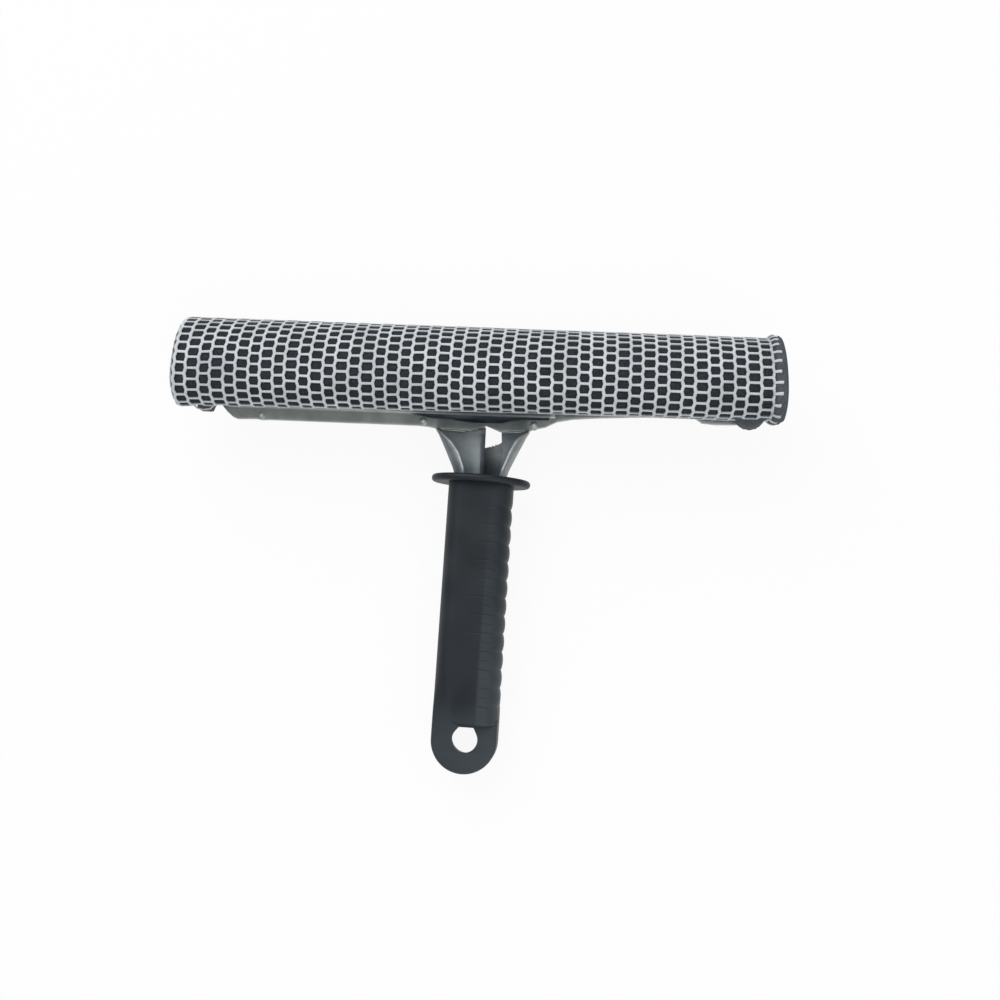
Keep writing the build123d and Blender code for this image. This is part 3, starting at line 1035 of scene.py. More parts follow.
@dataclass
class Mesh:
    """The net's lattice: upright zigzag cords along the head, joined by rungs in brick bond."""

    section: RollSection
    second_cord: float = -122.5
    last_cord: float = 117.6
    between: int = 46
    before: int = 2
    rows: int = 24
    swing: float = 0.16
    zigzag: float = 0.31
    cord: float = 1.2
    rung: float = 0.88
    thickness: float = 0.8
    roundness: float = 0.2
    phase: float = 2.85
    spread: float = 0.19
    spread_from: float = 12.5

    def columns(self) -> int:
        """Counts the columns of openings, the folded ones too."""
        return self.between + self.before

    def pitch(self) -> float:
        """Gives the distance between two upright cords along the head."""
        return (self.last_cord - self.second_cord) / self.between

    def rise(self) -> float:
        """Gives the distance between two rungs round the roll."""
        return self.section.length / self.rows

    def start(self) -> float:
        """Gives the first cord's distance from the roll's left rim, below 0 on the end's face."""
        return self.second_cord - self.before * self.pitch() - self.section.left

    def pull(self, distance: Points) -> Points:
        """Tells how far the rows are drawn apart in front.

        Args:
            distance: places along the roll from its left rim.

        Returns:
            Distances round the roll.
        """
        reach = self.last_cord - self.section.left
        return self.spread * np.clip(distance / reach, 0, 1) * self.section.length / (2 * math.pi)

    def creep(self, distance: Points, even: Points) -> Points:
        """Finds where the even lattice's rows lie round the roll.

        Args:
            distance: places along the roll from its left rim.
            even: places round the even lattice.

        Returns:
            Places round the roll's section.
        """
        placed = even + self.phase
        turn = 2 * math.pi / self.section.length
        return placed - self.pull(distance) * np.sin(turn * (placed - self.spread_from))

    def evened(self, distance: Points, along: Points) -> Points:
        """Finds the even lattice's place for each place round the roll: creep() turned about.

        Args:
            distance: places along the roll from its left rim.
            along: places round the roll's section.

        Returns:
            Places round the even lattice.
        """
        turn = 2 * math.pi / self.section.length
        placed = along
        for _ in range(8):
            placed = along + self.pull(distance) * np.sin(turn * (placed - self.spread_from))
        return placed - self.phase

    def rim(self, x: Points) -> Points:
        """Gives 0 under the net, rising to 1 on the bare flared rim at the open end."""
        return rise(x, self.last_cord - 0.6, self.last_cord + 1.7)


def end_path(distance: Points, radius: float, left: float) -> tuple[Points, Points]:
    """Follows the roll's surface from its left end's face, round the rim, and along the head.

    Args:
        distance: distances along the surface, 0 at the rim and below 0 on the end's face.
        radius: the rim's radius.
        left: the end face's X.

    Returns:
        How far each place lies in from the section's outline, and its X.
    """
    quarter = math.pi / 2 * radius
    turn = np.clip((distance + quarter / 2) / quarter, 0, 1) * math.pi / 2
    inset = radius * (1 - np.sin(turn)) + np.maximum(-quarter / 2 - distance, 0)
    return inset, left + radius * (1 - np.cos(turn)) + np.maximum(distance - quarter / 2, 0)


@dataclass
class KnitNet:
    """The knitted net sleeve: one lattice sheet, hexagonal openings, cut rungs at the open end."""

    section: RollSection
    ears: Ears
    mesh: Mesh
    rim_radius: float = 0.9
    flare: float = 1.5
    finger_start: float = 0.4
    finger_length: float = 3.8
    finger_width: float = 1.55
    finger_cuts: tuple[float, ...] = (-0.2, 0.1, 0.38)
    cord_edge: float = 0.26
    sway: float = 0.20
    lift: float = 0.18
    jitter: float = 0.05
    thread_share: float = 0.5
    seed: int = 11

    def lattice(self) -> tuple[Object, Points]:
        """Makes the flat lattice, scaled so that an even inset fits both its cords and rungs.

        Returns:
            The new object, and 1 for each point in a cord's middle and 0 at its sides.
        """
        mesh = self.mesh
        columns, halves = mesh.columns(), 2 * mesh.rows
        net = blank("knit_net", columns, halves)

        def numbered() -> tuple[Points, Points]:
            """Gives each point's column and half row."""
            share = get_points(net) + 0.5
            return tuple(np.rint(share[:, k] * (columns, halves)[k]).astype(int) for k in (0, 1))

        column, half = numbered()
        for edge in net.data.edges:
            a, b = edge.vertices
            level = half[a] == half[b] and 0 < half[a] < halves
            edge.select = bool(level and (half[a] + min(column[a], column[b])) % 2 == 1)
        for face in net.data.polygons:
            face.select = False
        with editing(net, "EDGE"):
            bpy.ops.mesh.dissolve_edges(use_verts=False)
        column, half = numbered()
        pull = np.where((half + column) % 2 == 0, mesh.zigzag, -mesh.zigzag)
        pull = pull + np.where(column % 2 == 0, -mesh.swing, mesh.swing)
        stretch = mesh.cord / mesh.rung
        up = half * mesh.rise() / 2 * stretch
        flat = np.column_stack([column * mesh.pitch() + pull, up, np.zeros(len(up))])
        set_points(net, flat)
        settings = {"use_individual": True, "use_even_offset": True}
        with editing(net):
            bpy.ops.mesh.select_all(action="SELECT")
            bpy.ops.mesh.inset(thickness=mesh.cord / 2, depth=0.0, **settings)
            bpy.ops.mesh.delete(type="FACE")
        points = get_points(net)
        ends = flat[(column == 0) | (column == columns)]
        borders = {(round(float(x), 3), round(float(y), 3)) for x, y, _ in ends}
        for row in points:
            if (round(float(row[0]), 3), round(float(row[1]), 3)) in borders:
                row[0] += mesh.cord / 2 if row[0] > 10 * mesh.cord else -mesh.cord / 2
        points[:, 1] /= stretch
        set_points(net, points)
        # 1 along each cord's middle and 0 at its sides: it also sets the painted shade on the yarn's
        # sides.
        core = (np.arange(len(points)) < len(flat)).astype(np.float32)
        paint(net, "core", core)
        return net, core

    def wrap(self, flat: Points, core: Points) -> Points:
        """Wraps the flat net's points round the roll, with the knit's unevenness.

        Args:
            flat: rows of X and Y on the flat net.
            core: 1 along the middle of a cord and 0 at its sides, which lie lower.

        Returns:
            Rows of X, Y, Z.
        """
        mesh = self.mesh
        sway = self.sway * wave_noise(flat[:, :2], 38.0, self.seed)
        lift = self.lift * wave_noise(flat[:, :2], 31.0, self.seed + 1)
        fine = np.random.default_rng(self.seed).normal(0, self.jitter, (len(flat), 2))
        distance = flat[:, 0] + mesh.start() + sway + fine[:, 0]
        inset, x = end_path(distance, self.rim_radius, self.section.left)
        along = mesh.creep(distance, flat[:, 1]) + lift + fine[:, 1]
        rows = self.section.at(along, mesh.thickness / 2 + mesh.roundness * (1 - core))
        rows = self.section.towards_middle(rows, inset)
        return self.section.settle(np.column_stack([x, rows]))

    def finger(self, along: float, length: float, lean: float) -> Object:
        """Makes one cut rung: a short rounded rod on the roll's rim, at the open end.

        Args:
            along: its place round the section.
            length: its length.
            lean: how far its tip lies round from its foot.

        Returns:
            The new object.
        """
        add = bpy.ops.mesh.primitive_cylinder_add
        rod = primitive(add, "cut_rung", vertices=6, radius=0.5, depth=1.0)
        with editing(rod):
            for cut in self.finger_cuts:
                bpy.ops.mesh.select_all(action="SELECT")
                bpy.ops.mesh.bisect(plane_co=(0, 0, cut), plane_no=(0, 0, 1))
        across, up, _ = get_points(rod).T
        share = get_points(rod)[:, 2] + 0.5
        width = self.finger_width * (0.85 + 0.3 * share)
        x = self.mesh.last_cord - self.finger_start + share * length
        thickness = self.mesh.thickness
        depth = thickness * 0.5 - self.mesh.rim(x) * self.flare
        place = self.section.at(along + across * width + lean * share, depth + thickness * up)
        set_points(rod, self.section.settle(np.column_stack([x, place])))
        apply_modifier(rod, "SUBSURF", levels=1, render_levels=1)
        # The cut rungs take none of the yarn's painted side shade.
        paint(rod, "core", np.ones(len(rod.data.vertices)))
        return rod

    def build(self, shop: Shop) -> None:
        """Makes the net and hands it over.

        Args:
            shop: where it goes.
        """
        mesh = self.mesh
        net, core = self.lattice()
        set_points(net, self.wrap(get_points(net), core))
        apply_modifier(net, "SOLIDIFY", thickness=mesh.thickness, offset=0.0, use_even_offset=False)
        ease_edges(net, self.cord_edge, 2, 35.0)
        draw = np.random.default_rng(self.seed + 5)
        pieces = [net, self.ears.cord()]
        end = np.array(mesh.last_cord - self.section.left)
        for row in range(mesh.rows):
            half = 2 * row + mesh.columns() % 2
            along = float(mesh.creep(end, np.array(half * mesh.rise() / 2)))
            length = self.finger_length * draw.uniform(0.85, 1.1)
            pieces.append(self.finger(along, length, draw.normal(0, 0.3)))
        net = join(pieces, "knit_net")
        smooth(net, 180)
        shop.hand_over(net, Finish.NET, "scrubber_net")
        around, reach = self.section.length * MM, mesh.columns() * mesh.pitch() * MM


@dataclass
class FoamRoll:
    """The foam: pressed into the net's openings, bare and flared at its open end, with two ears."""

    section: RollSection
    ears: Ears
    mesh: Mesh
    lie: float = 0.95
    swell: float = 0.42
    flare: float = 1.0
    rim_radius: float = 1.3
    step: float = 0.85
    face: float = 24.0
    # How much of the paler colour the bare rim takes: partly cut foam, partly painted light.
    bare: float = 0.68

    def swelling(self, distance: Points, along: Points) -> Points:
        """Tells how far the foam stands up in the net's openings.

        Args:
            distance: places along the roll from its left rim.
            along: places round the roll's section.

        Returns:
            From 0 under a cord to 1 in an opening's middle.
        """
        mesh = self.mesh
        column = (distance - mesh.start()) / mesh.pitch()
        index = np.floor(column)
        row = mesh.evened(distance, along) / mesh.rise() + np.where(index % 2 == 0, 0.0, 0.5)
        across = np.sin(np.pi * np.clip(column - index, 0, 1)) ** 0.8
        return across * np.abs(np.sin(np.pi * row)) ** 0.8

    def surface(self, across: Points, up: Points) -> Points:
        """Places the roll's skin, from its left face's middle to its right face's middle.

        Args:
            across: shares of the way along.
            up: shares of the way round.

        Returns:
            Rows of X, Y, Z.
        """
        section, radius = self.section, self.rim_radius
        straight = section.right - section.left
        walk = across * (2 * self.face + straight) - self.face
        along = up * section.length
        inset, x = end_path(np.minimum(walk, straight / 2), radius, section.left)
        x = x + self.lie * (1 - rise(x, section.left, section.left + 8.0))
        past = walk - straight
        quarter = math.pi / 2 * radius
        turn = np.clip((past + quarter / 2) / quarter, 0, 1) * math.pi / 2
        right_inset = radius * (1 - np.cos(turn)) + np.maximum(past - quarter / 2, 0)
        right_x = section.right - radius * (1 - np.sin(turn)) + np.minimum(past + quarter / 2, 0)
        right = walk > straight / 2
        inset, x = np.where(right, right_inset, inset), np.where(right, right_x, x)
        bare = self.mesh.rim(x)
        covered = bump(walk, -3.0, straight, 1.5) * (1 - bare)
        rest = self.lie - self.swell * self.swelling(walk, along) * covered
        rows = section.at(along, rest * (1 - bare) - self.flare * bare)
        rows = section.towards_middle(rows, inset)
        return section.settle(np.column_stack([x, rows]))

    def build(self, shop: Shop) -> None:
        """Makes the foam and hands it over.

        Args:
            shop: where it goes.
        """
        columns = int((self.section.right - self.section.left + 2 * self.face) / self.step)
        skin = press(blank("foam_roll", columns, 6 * self.mesh.rows), self.surface)
        merge_points(skin, 0.004)
        paint(skin, "bare", self.bare * self.mesh.rim(get_points(skin)[:, 0]))
        ears = [self.ears.left(), self.ears.right()]
        # The ears take the paler colour in full, as painted light on lumps that lie in shade.
        for ear in ears:
            paint(ear, "bare", np.ones(len(ear.data.vertices)))
        foam = join([skin, *ears], "foam_roll")
        smooth(foam, 60)
        shop.hand_over(foam, Finish.FOAM, "scrubber_foam")


# The steel head


@dataclass
class Neck:
    """The funnel that both sheets form, from the strip down into the grip.

    Each table gives a value at heights: half the width, each ridge's place as a share of it, and
    how far the ridge's crest stands forward and the panel inside it falls back.
    """

    top: float = -1.5
    bottom: float = -30.0
    halves: Table = (
        (-1.5, 19.5), (-3.3, 18.3), (-10.2, 14.9), (-17.8, 11.4), (-21.5, 10.3), (-30.0, 9.8),
    )
    left_ridge: Table = (
        (-1.5, 0.97), (-4.0, 0.93), (-7.1, 0.80), (-11.7, 0.69), (-17.7, 0.64), (-30.0, 0.62),
    )
    right_ridge: Table = (
        (-1.5, 0.97), (-5.5, 0.86), (-10.9, 0.84), (-17.0, 0.86), (-30.0, 0.86),
    )
    crest: Table = (
        (0.5, 1.0), (-1.5, 1.9), (-5.0, 2.9), (-11.0, 4.2), (-21.5, 6.2), (-30.0, 6.2),
    )
    hollow: Table = (
        (0.5, 0.2), (-1.5, 0.5), (-4.0, 0.9), (-10.0, 1.4), (-21.5, 1.6), (-30.0, 1.6),
    )
    bowl: Table = ((-30.0, 6.2), (-21.5, 6.7), (-1.5, 6.2), (3.0, 3.6), (9.0, 0.0))

    @staticmethod
    def read(table: Table, at: Points) -> Points:
        """Reads a table.

        Args:
            table: places and their values.
            at: the places to read.

        Returns:
            The value at each place.
        """
        rows = sorted(table)
        return np.interp(at, [r[0] for r in rows], [r[1] for r in rows])

    def half(self, y: Points) -> Points:
        """Gives half the funnel's width at each height."""
        return self.read(self.halves, y)

    def ridge(self, x: Points, y: Points) -> Points:
        """Gives how far out the ridge on x's side runs, as a share of the half width."""
        return np.where(x < 0, self.read(self.left_ridge, y), self.read(self.right_ridge, y))

    def front(self, x: Points, y: Points) -> Points:
        """Tells how far the front sheet's wings stand forward of the middle plane.

        Args:
            x: places across.
            y: heights, in the neck.

        Returns:
            Distances along Z, of the sheet's middle.
        """
        share = np.clip(np.abs(x) / self.half(y), 0, 1)
        ridge = self.ridge(x, y)
        crest, hollow = self.read(self.crest, y), self.read(self.hollow, y)
        outside = np.clip((1 - share) / np.maximum(1 - ridge, 1e-3), 0, 1)
        flank = 0.5 + (crest - 0.5) * np.sqrt(np.clip(1 - (1 - outside) ** 2, 0, 1))
        inside = np.clip((ridge - share) / np.maximum(ridge, 1e-3), 0, 1)
        dip = hollow * np.sin(0.72 * np.pi * inside) * rise(inside, -0.02, 0.12)
        return np.where(share > ridge, flank, crest - dip)

    def rear(self, x: Points, y: Points) -> Points:
        """Tells how far the rear sheet stands back of the middle plane.

        Args:
            x: places across.
            y: heights.

        Returns:
            Distances along Z, of the sheet's middle.
        """
        half = np.where(y > self.top, 16.0 + 3.5 * np.clip((9 - y) / 10.5, 0, 1), self.half(y))
        share = np.clip(np.abs(x) / half, 0, 1)
        circle = np.sqrt(np.clip(1 - share**2, 0, 1))
        swell = np.cos(share * math.pi / 2) ** 1.2
        blend = np.clip((self.top - y) / 8.0, 0, 1)
        return -0.5 - self.read(self.bowl, y) * (swell * (1 - blend) + circle * blend)


@dataclass
class SteelHead:
    """The two pressed sheets: strip, lip and split neck in front, wall and funnel behind."""

    neck: Neck
    thickness: float = 1.0
    edge_radius: float = 0.18
    crease: float = 5.4
    crease_radius: float = 1.0
    wall_top: float = 33.0
    tab_top: float = 12.0
    tab_start: float = 31.0
    lip_depth: float = 10.5
    lip_fall: float = 1.5
    slot: tuple[float, float] = (0.9, 8.2)
    slot_edges: tuple[Table, Table] = (
        ((1.0, 1.0), (-1.5, 1.0), (-10.0, 1.1), (-18.0, 1.3), (-30.0, 1.3)),
        (
            (0.0, 8.2), (-2.1, 8.1), (-6.0, 8.5), (-11.0, 9.4), (-14.0, 9.3), (-18.7, 8.8),
            (-30.0, 8.6),
        ),
    )
    border: float = 0.3
    ridge_marks: tuple[float, float] = (-11.9, 13.7)
    window: Table = (
        (-0.6, 3.0), (8.6, 3.0), (8.6, -3.6), (8.3, -4.7), (7.6, -5.4), (6.6, -5.9), (1.2, -7.4),
        (-0.6, -7.6),
    )
    lower_edge: Table = (
        (-113.5, 5.4), (-111.0, 2.7), (-108.6, 0.7), (-106.9, 0.0), (-98.5, 0.25), (-95.5, -0.1),
        (-92.0, 0.1), (-28.0, 0.0), (-23.9, -0.3), (-20.9, -0.8), (-19.5, -1.5), (-11.9, -1.5),
        (-5.4, -1.9), (-2.0, -0.7), (0.2, 0.5), (0.9, 0.65), (1.7, 0.7), (7.4, -1.6), (8.2, -1.8),
        (13.7, -1.4), (19.5, -1.0), (20.6, -0.3), (23.4, 0.6), (26.4, 1.2), (31.2, 3.7),
        (37.8, 5.1), (50.0, 6.15), (66.6, 7.1), (87.6, 7.8), (89.9, 7.0), (92.0, 5.5), (98.1, 5.0),
        (109.5, 5.4),
    )
    lens_edge: Table = (
        (-32.0, 5.4), (-22.9, 3.5), (-13.6, 3.1), (-11.2, 2.6), (-4.3, 1.9), (0.9, 1.8),
        (8.2, 2.2), (11.8, 3.3), (16.5, 4.0), (27.7, 4.3), (28.5, 5.4),
    )
    closest: float = 0.3

    def stations(self) -> list[float]:
        """Lists the places along the head where the sheets have a row of points.

        Returns:
            X of each, rising; a bend of an edge always has one.
        """
        fixed = {x for x, _ in self.lower_edge + self.lens_edge}
        fixed |= {self.tab_start, self.tab_start - 0.5}
        marks = fixed | {0.6, -16.0, 16.0} | set(np.arange(-19.0, 19.4, 0.5))
        marks |= set(np.arange(-112.0, 109.0, 4.0))
        ordered = sorted(float(m) for m in marks)
        kept = [ordered[0]]
        for mark in ordered[1:]:
            apart = mark - kept[-1] > self.closest
            if not apart and mark in fixed and kept[-1] not in fixed:
                kept[-1] = mark
            elif apart or mark in fixed:
                kept.append(mark)
        return kept

    @staticmethod
    def sheet(name: str, stations: Sequence[float], rows: int, place: Placer) -> Object:
        """Presses a gridded blank that has a row of points at each station.

        Args:
            name: the new object's name.
            stations: places along X.
            rows: faces between its two edges.
            place: takes each point's station and share up, and gives rows of X, Y, Z.

        Returns:
            The new object.
        """
        xs = np.array(stations)

        def at_station(across: Points, up: Points) -> Points:
            """Sets a point of the blank by its station."""
            return place(xs[np.rint(across * (len(xs) - 1)).astype(int)], up)

        return press(blank(name, len(xs) - 1, rows), at_station)

    def edge(self, x: Points) -> Points:
        """Gives the strip's lower edge."""
        return Neck.read(self.lower_edge, x)

    def band_depth(self, x: Points, y: Points) -> Points:
        """Gives the front strip's depth: flat, swelling a little over the neck.

        Args:
            x: places along.
            y: heights, in the strip.

        Returns:
            Distances along Z, of the sheet's middle.
        """
        lift = self.neck.front(x, np.full_like(y, self.neck.top)) - 0.5
        near = np.clip((self.crease - y) / (self.crease - self.neck.top), 0, 1) ** 1.5
        return 0.5 + lift * near * (1 - rise(np.abs(x), 15.0, 22.5))

    def wing(self, name: str, on_left: bool) -> Object:
        """Presses one of the neck's front wings, from the strip's lower edge down into the grip.

        Args:
            name: the new object's name.
            on_left: which of the two it is.

        Returns:
            The new object.
        """
        neck, which = self.neck, 0 if on_left else 1
        outer_top = float(neck.half(np.array(neck.top))) * (-1.0 if on_left else 1.0)
        inner_top = self.slot[which]
        low, high = sorted((outer_top, inner_top))
        xs = [x for x in self.stations() if low - 0.01 <= x <= high + 0.01]
        at_ridge = (self.ridge_marks[which] - inner_top) / (outer_top - inner_top)

        def place(x_top: Points, up: Points) -> Points:
            """Sets the blank on the wing, which narrows down the neck.

            Args:
                x_top: each point's X at the strip's lower edge.
                up: its share of the way up from the grip.

            Returns:
                Rows of X, Y, Z.
            """
            start = self.edge(x_top)
            up = 1 - (1 - up) ** 1.5
            y = neck.bottom * (1 - up) + start * up
            inner = Neck.read(self.slot_edges[which], y)
            share = (x_top - inner_top) / (outer_top - inner_top)
            outer = np.sign(outer_top) * neck.half(y)
            ridge = outer * neck.ridge(outer, y)
            inner = inner if on_left else np.minimum(inner, ridge - 0.4)
            within = inner + (ridge - inner) * share / at_ridge
            beyond = ridge + (outer - ridge) * (share - at_ridge) / (1 - at_ridge)
            x = np.where(share < at_ridge, within, beyond)
            fallen = start - y
            x = x_top + (x - x_top) * np.clip(fallen / 1.0, 0, 1)
            blend = np.clip(fallen / 0.9, 0, 1)
            z = neck.front(x, y) * blend + self.band_depth(x_top, start) * (1 - blend)
            crease = hump(fallen, 0.5, 0.45) * np.clip((0.93 - share) / 0.1, 0, 1)
            curl = np.clip(1 - np.abs(x - inner) / 1.9, 0, 1) ** 2 * blend * on_left
            return np.column_stack([x, y, z - self.border * crease - curl])

        return self.sheet(name, xs, 30, place)

    def front(self) -> Object:
        """Makes the front sheet: the strip, the two wings, and the lip bent out of the strip.

        Returns:
            The new object.
        """
        stations, radius = self.stations(), self.crease_radius

        def strip(x: Points, up: Points) -> Points:
            """Sets the blank on the strip, up to the crease, the lens's edge or the tab's top.

            Args:
                x: each point's place along the head.
                up: its share of the way up from the lower edge.

            Returns:
                Rows of X, Y, Z.
            """
            high = np.full_like(x, self.crease)
            inside = (x > self.lens_edge[0][0]) & (x < self.lens_edge[-1][0])
            high[inside] = Neck.read(self.lens_edge, x[inside])
            high[x >= self.tab_start] = self.tab_top
            y = self.edge(x) * (1 - up) + high * up
            return np.column_stack([x, y, self.band_depth(x, y)])

        def lip(x: Points, up: Points) -> Points:
            """Sets the blank on the lip, bent forward from the crease.

            Args:
                x: each point's place along the head.
                up: its share of the way out from the crease.

            Returns:
                Rows of X, Y, Z.
            """
            reach = up * (self.lip_depth + 0.1)
            turn = np.clip(reach / (radius * math.pi / 2), 0, 1) * math.pi / 2
            run = np.maximum(reach - radius * math.pi / 2, 0)
            y = self.crease + radius * np.sin(turn) - run * self.lip_fall / self.lip_depth
            return np.column_stack([x, y, 0.5 + radius * (1 - np.cos(turn)) + run])

        bent = [x for x in stations if -112.0 < x < self.tab_start - 0.4]
        pieces = [self.sheet("strip", stations, 6, strip)]
        pieces += [self.wing("left_wing", True), self.wing("right_wing", False)]
        pieces.append(self.sheet("lip", bent, 8, lip))
        return self.finish(join(pieces, "front_sheet"), even=True)

    def rear(self) -> Object:
        """Makes the rear sheet: the wall behind the foam, and the funnel with its window.

        Returns:
            The new object.
        """
        neck, stations = self.neck, self.stations()
        half_top = float(neck.half(np.array(neck.top)))

        def wall(x: Points, up: Points) -> Points:
            """Sets a point of the blank on the wall."""
            y = self.edge(x) * (1 - up) + self.wall_top * up
            return np.column_stack([x, y, neck.rear(x, y)])

        def funnel(x_top: Points, up: Points) -> Points:
            """Sets the blank on the funnel's rear half.

            Args:
                x_top: each point's X at the strip's lower edge.
                up: its share of the way up from the grip.

            Returns:
                Rows of X, Y, Z.
            """
            y = neck.bottom * (1 - up) + self.edge(x_top) * up
            x = x_top / half_top * neck.half(np.minimum(y, neck.top))
            return np.column_stack([x, y, neck.rear(x, y)])

        near = [x for x in stations if abs(x) <= half_top + 0.01]
        pieces = [self.sheet("wall", stations, 26, wall), self.sheet("funnel", near, 30, funnel)]
        sheet = join(pieces, "rear_sheet")
        merge_points(sheet, 0.02)
        self.cut_window(sheet)
        return self.finish(sheet, even=False)

    def cut_window(self, sheet: Object) -> None:
        """Cuts the window through the rear sheet, one straight cut for each of its sides.

        Args:
            sheet: the rear sheet.
        """
        corners = np.array(self.window)
        ahead = np.roll(corners, -1, 0)
        outwards = np.column_stack([corners[:, 1] - ahead[:, 1], ahead[:, 0] - corners[:, 0]])
        low, high = corners.min(0) - 1.5, corners.max(0) + 1.5

        def choose(inside: bool) -> None:
            """Selects the faces about the window, or those inside it alone.

            Args:
                inside: whether only those inside it are selected.
            """
            for face in sheet.data.polygons:
                spot = np.array(face.center[:2])
                near = bool((spot > low).all() and (spot < high).all())
                if near and inside:
                    near = bool((((spot - corners) * outwards).sum(1) < 0).all())
                face.select = near

        for (x, y), (out_x, out_y) in zip(corners, outwards):
            choose(False)
            with editing(sheet):
                bpy.ops.mesh.bisect(plane_co=(x, y, 0), plane_no=(out_x, out_y, 0))
        choose(True)
        with editing(sheet):
            bpy.ops.mesh.delete(type="FACE")
        merge_points(sheet, 0.05)

    def paint_shade(self, sheet: Object, behind: bool) -> None:
        """Paints shade onto a pressed sheet: under the lip, down inside the funnel, over the neck and
        in a crease.

        Args:
            sheet: the pressed sheet.
            behind: whether it is the rear one.
        """
        points = get_points(sheet)
        x, y, z = points.T
        # Painted shadow under the lip: on the lip's underside and on the wall behind the lens gap.
        lip_shadow = bump(x, -33.0, 29.5, 5.0) * bump(y, 0.5, 8.0, 1.5)
        if behind:
            normals = np.empty(points.size, np.float32)
            sheet.data.vertices.foreach_get("normal", normals)
            facing = normals.reshape(-1, 3)[:, 2] > 0.2
            # Painted shade on the rear sheet's inner face, darker down inside the funnel.
            down = 0.25 + 0.6 * (1 - rise(y, -18.0, -7.0))
            inside = bump(x, -12.0, 14.0, 3.0) * (y < -1.0)
            painted_shade = np.maximum(lip_shadow, down * inside) * facing
        else:
            # A painted highlight along each ridge, where the painted shade is left off.
            ridge = self.neck.half(y) * self.neck.ridge(x, y)
            line = hump(np.abs(x), ridge, 0.35) * rise(y, -20.5, -18.0)
            # Painted shade along the left wing's free edge, where it turns down into the slot.
            slot_edge_shade = bump(x - Neck.read(self.slot_edges[0], y), -1.7, 1.0, 0.8)
            # Painted shade over the neck's panels: heavier right of the middle, lighter on the right
            # flank, darker towards the guard.
            shade_layer = np.where(x < 0, 0.62, 0.82) + 0.3 * (1 - rise(y, -20.5, -12.0))
            shade_layer = shade_layer * (1 - line) * np.where((x > 0) & (x > ridge), 0.4, 1.0)
            # The neck's painted shade starts below the strip.
            neck_shade = (1 - rise(y, -3.2, -1.4)) * np.maximum(shade_layer, 0.85 * slot_edge_shade)
            # Painted shade in the crease at the strip's left end.
            crease = 0.4 * hump(y, 4.8, 0.3) * (x < -34) * (z < 1.2)
            painted_shade = np.maximum(lip_shadow * rise(z, 1.1, 1.8) * (y > 2.5), neck_shade) + crease
        paint(sheet, "painted_shade", np.clip(painted_shade, 0, 1))

    def finish(self, sheet: Object, even: bool) -> Object:
        """Gives a pressed sheet its thickness and softened edges.

        Args:
            sheet: the sheet, still without thickness.
            even: whether the thickness is kept at the folds, which makes a cut edge uneven.

        Returns:
            The same object.
        """
        if even:
            merge_points(sheet, 0.02)
        apply_modifier(sheet, "SOLIDIFY", thickness=self.thickness, offset=0.0, use_even_offset=even)
        ease_edges(sheet, self.edge_radius, 2, 50.0)
        smooth(sheet, 40)
        return sheet

    def build(self, shop: Shop) -> None:
        """Makes both sheets and hands them over.

        Args:
            shop: where they go.
        """
        for sheet, behind, node in (
            (self.front(), False, "front_plate"),
            (self.rear(), True, "back_plate"),
        ):
            self.paint_shade(sheet, behind)
            shop.hand_over(sheet, Finish.STEEL, node)


@dataclass
class Rivets:
    """Domed rivets through the sheets, and through the channel behind."""

    head_radius: float = 1.8
    head_height: float = 0.4
    dome: Table = ((0.2, 0.97), (0.45, 0.82), (0.7, 0.54), (0.88, 0.25), (1.0, 0.0))
    # The painted glint's radius on each head, in millimetres.
    painted_glint: float = 0.65
    shank_radius: float = 1.2
    plate_faces: tuple[float, float] = (-1.0, 1.0)
    plate_places: Table = ((-25.7, 1.7), (21.7, 1.7), (-96.0, 1.7), (92.0, 9.0))
    channel_faces: tuple[float, float] = (-1.8, 0.0)
    channel_places: Table = ((-80.0, 28.5), (-28.0, 28.5), (24.0, 28.5), (76.0, 28.5))

    def one(self, x: float, y: float, back: float, front: float) -> Object:
        """Makes a rivet: rings drawn up one after another from the back head to the front head.

        Args:
            x: its place along the head.
            y: its height.
            back: the Z of the face that its back head sits on.
            front: the Z of the face that its front head sits on.

        Returns:
            The new object.
        """
        rings = [(self.head_radius * r, back - self.head_height * h) for r, h in self.dome]
        rings += [(self.shank_radius, back + 0.01), (self.shank_radius, front - 0.01)]
        rings += [(self.head_radius * r, front + self.head_height * h) for r, h in self.dome[::-1]]
        add = bpy.ops.mesh.primitive_circle_add
        rivet = primitive(add, "rivet", vertices=24, radius=rings[0][0], fill_type="NGON")
        with editing(rivet):
            bpy.ops.mesh.select_all(action="SELECT")
            for (radius, z), (next_radius, next_z) in zip(rings, rings[1:]):
                up = {"value": (0, 0, next_z - z)}
                bpy.ops.mesh.extrude_region_move(TRANSFORM_OT_translate=up)
                grow = next_radius / radius
                bpy.ops.transform.resize(value=(grow, grow, 1.0))
            bpy.ops.mesh.select_all(action="SELECT")
            bpy.ops.mesh.normals_make_consistent(inside=False)
        points = get_points(rivet)
        far = np.hypot(points[:, 0], points[:, 1])
        # A painted glint on the head's top, fading out from its middle.
        paint(rivet, "painted_glint", 1 - rise(far, self.painted_glint * 0.6, self.painted_glint * 1.5))
        set_points(rivet, points + (x, y, rings[0][1]))
        return rivet

    def build(self, shop: Shop) -> None:
        """Makes both sets and hands them over.

        Args:
            shop: where they go.
        """
        for name, places, faces, node in (
            ("dome_rivets", self.plate_places, self.plate_faces, "plate_rivets"),
            ("channel_dome_rivets", self.channel_places, self.channel_faces, "channel_rivets"),
        ):
            rivets = join([self.one(x, y, *faces) for x, y in places], name)
            smooth(rivets, 50)
            shop.hand_over(rivets, Finish.RIVET, node)


# The blade and its channel


